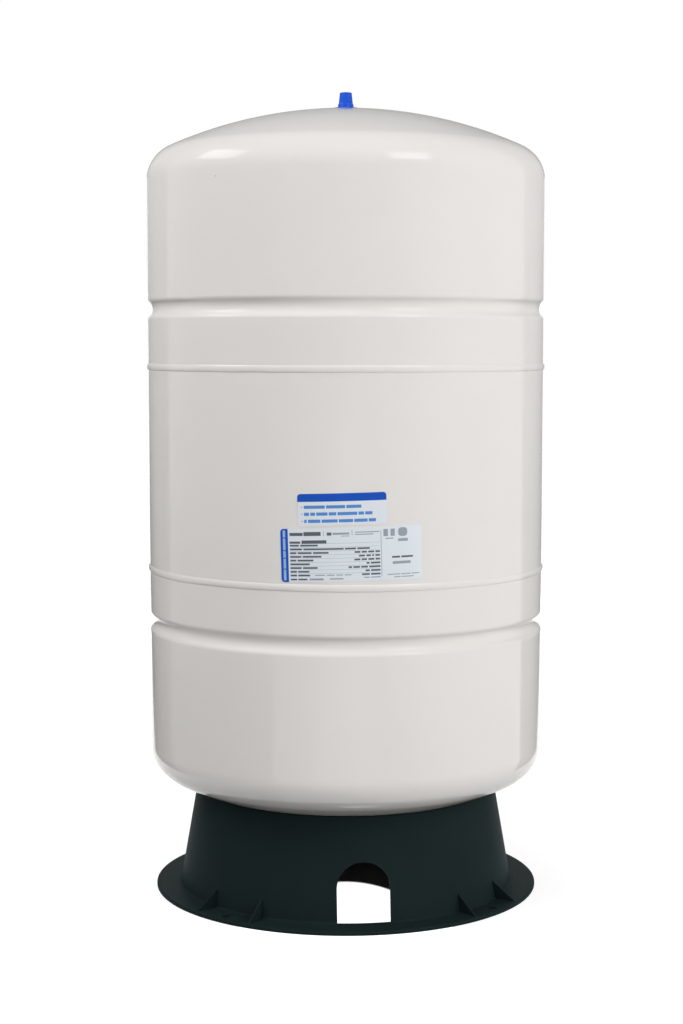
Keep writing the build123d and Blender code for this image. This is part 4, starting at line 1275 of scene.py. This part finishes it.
@dataclass
class Studio:
    """Pale floor, white background, soft lamps and the camera at the photograph's place."""

    lens_mm: float = 68.13
    camera_away: float = 1.9528
    camera_height: float = 0.5512
    pitch_degrees: float = 5.04
    shift_x: float = -0.0042
    front_azimuth: float = 9.0
    front_elevation: float = -7.0
    weak: float = 0.05
    strong: float = 0.42
    floor_colour: str = "#a3a3a3"
    floor_shade: float = 0.76
    floor_size: float = 30.0
    stand_radius: float = 0.166
    patch_end: float = -0.011
    patch_bow: float = 14.9
    patch_soft: float = 0.003
    patch_shown: float = 1.5
    target: tuple[float, float, float] = (0.0, 0.0, 0.5)

    def background(self, tree: NodeTree) -> NodeSocket:
        """Tells the rays that show the white background: seen straight, mirrored or through."""
        path = add_node(tree, "LightPath").outputs
        seen = path["Is Camera Ray"]
        for kind in ("Is Glossy Ray", "Is Transmission Ray"):
            seen = add_node(tree, "Math", {0: seen, 1: path[kind]}, operation="MAXIMUM").outputs[0]
        return seen

    def world(self) -> None:
        """Sets the white background, and soft light that is strong in front and weak behind."""
        world = bpy.data.worlds.new("white_studio")
        bpy.context.scene.world = world
        world.use_nodes = True
        tree = world.node_tree
        tree.nodes.clear()
        lift = radians(self.front_elevation)
        front = at_azimuth(cos(lift), radians(self.front_azimuth), sin(lift))
        facing = add_node(
            tree, "VectorMath", {0: add_node(tree, "TexCoord").outputs["Generated"], 1: front},
            operation="DOT_PRODUCT"
        )
        soft = add_node(
            tree, "MapRange",
            {0: facing.outputs["Value"], 1: -0.4, 2: 1.1, 3: self.weak, 4: self.strong}
        )
        strength = add_node(
            tree, "MapRange", {0: self.background(tree), 3: soft.outputs[0], 4: 1.0}
        )
        light = add_node(
            tree, "Background", {"Color": linear("#ffffff"), "Strength": strength.outputs[0]}
        )
        add_node(tree, "OutputWorld", {"Surface": light.outputs[0]})

    def painted_door_light(self, tree: NodeTree, place: NodeSocket) -> NodeSocket:
        """Tells the bowed patch of floor inside the stand that glows with painted light, as if lit
        through the door.

        Args:
            tree: The floor material's node tree.
            place: Object coordinates, in metres.

        Returns:
            A socket that is 1 in the patch and 0 beyond it.
        """
        axes = add_node(tree, "SeparateXYZ", {0: place})
        bow = add_node(
            tree, "Math", {0: axes.outputs["X"], 1: axes.outputs["X"]}, operation="MULTIPLY"
        )
        reach = add_node(
            tree, "Math", {0: bow.outputs[0], 1: self.patch_bow, 2: axes.outputs["Y"]},
            operation="MULTIPLY_ADD"
        )
        # Painted light: the patch glows as a pool of light painted on the floor, standing in for
        # light through the door.
        start, end = self.patch_end - self.patch_soft, self.patch_end + self.patch_soft
        return add_node(
            tree, "MapRange", {0: reach.outputs[0], 1: start, 2: end, 3: self.patch_shown, 4: 0.0}
        ).outputs[0]

    def floor(self) -> None:
        """Lays a pale floor that shows white away from the object and keeps its shadow near it, where
        its glow is dimmed as painted shade.
        """
        mesh = bmesh.new()
        bmesh.ops.create_grid(mesh, x_segments=1, y_segments=1, size=self.floor_size / 2)
        # Matt white studio paper
        paper = blank_material("studio_paper")
        tree = paper.node_tree
        place = add_node(tree, "TexCoord").outputs["Object"]
        away = add_node(tree, "VectorMath", {0: place}, operation="LENGTH")
        # Painted shade: the glow dims near the object and is left out under the stand, outside the
        # painted patch by the door; the matt floor beneath keeps the real shadow.
        fade = add_node(
            tree, "MapRange",
            {0: away.outputs["Value"], 1: 0.2, 2: 0.7, 3: self.floor_shade, 4: 1.0}
        )
        open_floor = add_node(
            tree, "Math", {0: away.outputs["Value"], 1: self.stand_radius}, operation="GREATER_THAN"
        )
        glow_mask = add_node(
            tree, "Math", {0: open_floor.outputs[0], 1: self.painted_door_light(tree, place)},
            operation="MAXIMUM"
        )
        seen = add_node(
            tree, "Math", {0: glow_mask.outputs[0], 1: self.background(tree)}, operation="MULTIPLY"
        )
        shown = add_node(
            tree, "Math", {0: fade.outputs[0], 1: seen.outputs[0]}, operation="MULTIPLY"
        )
        matt = add_node(tree, "BsdfDiffuse", {"Color": linear(self.floor_colour)})
        glow = add_node(
            tree, "Emission", {"Color": linear("#ffffff"), "Strength": shown.outputs[0]}
        )
        both = add_node(tree, "AddShader", {0: matt.outputs[0], 1: glow.outputs[0]})
        add_node(tree, "OutputMaterial", {"Surface": both.outputs[0]})
        staged(mesh, "floor", paper)

    def camera(self) -> None:
        """Stands the camera where the photograph was taken from."""
        data = bpy.data.cameras.new("camera")
        data.lens = self.lens_mm
        data.sensor_width = 36.0
        data.shift_x = self.shift_x
        data.clip_start = 0.05
        camera = linked("camera", data)
        camera.location = (0.0, -self.camera_away, self.camera_height)
        camera.rotation_euler = (radians(90 - self.pitch_degrees), 0.0, 0.0)
        bpy.context.scene.camera = camera

    def build(self) -> None:
        """Sets up the camera, the world, the floor and the lamps."""
        bpy.context.scene.view_settings.view_transform = "Standard"
        self.camera()
        self.world()
        self.floor()
        cards = (
            DarkCard("left_card", (-0.407, 0.05), (-1.211, 4.0)),
            DarkCard("right_card", (0.407, 0.05), (1.211, 4.0), low_strength=0.15),
            DarkCard(
                "low_card", (-0.3, -0.45), (-0.407, 0.05), height=0.6, high=0.55, low_strength=0.45,
                high_strength=1.0
            ),
            DarkCard(
                "crest_card", (-1.6, 1.5), (1.6, 1.5), bottom=0.85, height=3.0, low=0.9, high=3.8,
                low_strength=0.34, high_strength=0.95
            )
        )
        for card in cards:
            card.place()
        lamps = (
            Softbox("left_strip", -82.6, 38.0, 2.6, 1.15, 0.8, 2.9),
            Softbox("right_strip", 37.4, 33.0, 2.6, 0.9, 0.8, 2.9),
            Softbox("left_fill", -60.0, 36.0, 1.9, 1.4, 1.4, 3.7, mirrored=False),
            Softbox("right_fill", 52.0, 11.0, 1.9, 1.5, 1.6, 3.4, mirrored=False),
            Softbox("back_fill_left", -150.0, 4.0, 2.2, 1.3, 1.6, 2.9, mirrored=False),
            Softbox("back_fill_right", 150.0, 4.0, 2.2, 1.3, 1.6, 2.9, mirrored=False)
        )
        for lamp in lamps:
            lamp.place(Vector(self.target))


def dress(finishes: dict[str, Material]) -> None:
    """Gives each CAD node that stays its material.

    Args:
        finishes: The material of each node, by the node's name.
    """
    for name, finish in finishes.items():
        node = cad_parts[name]
        for slot in node.material_slots:
            slot.material = finish
        LOG.info("%s: dressed in %s", name, finish.name)


def main() -> None:
    """Builds the studio and every piece, in order."""
    logging.basicConfig(level=logging.INFO, format="%(message)s")
    Studio().build()
    enamel = ENAMEL.material()
    vessel = Vessel(enamel)
    vessel.build()
    Labels(
        FILM.material(), INK_BLUE.material(), INK_PALE.material(), INK_SKY.material(),
        INK_DARK.material(), INK_RULE.material(), vessel.lower_weld
    ).build()
    brass, stainless = BRASS.material(), STAINLESS.material()
    pin = PIN_STEEL.material()
    AirValve(brass, CAP_PLASTIC.material(), pin, vessel.top - vessel.sag(vessel.upper_land)).build()
    WaterConnection(stainless, vessel.crown_height + vessel.sag(vessel.lower_land)).build()
    hoop, zinc = HOOP_STEEL.material(), ZINC_PLATE.material()
    rubber = SEAL_RUBBER.material()
    dress(
        {
            "stand": STAND_PLASTIC.material(), "liner": LINER_PLASTIC.material(),
            "diaphragm": BUTYL.material(), "clench_ring": hoop, "connection_seal": rubber,
            "stem_gasket": rubber, "core_seal": rubber, "cap_seal": rubber, "valve_boss": hoop,
            "core_body": brass, "core_pin": pin, "weld_studs": zinc, "push_nuts": zinc
        }
    )


if __name__ == "__main__":
    main()
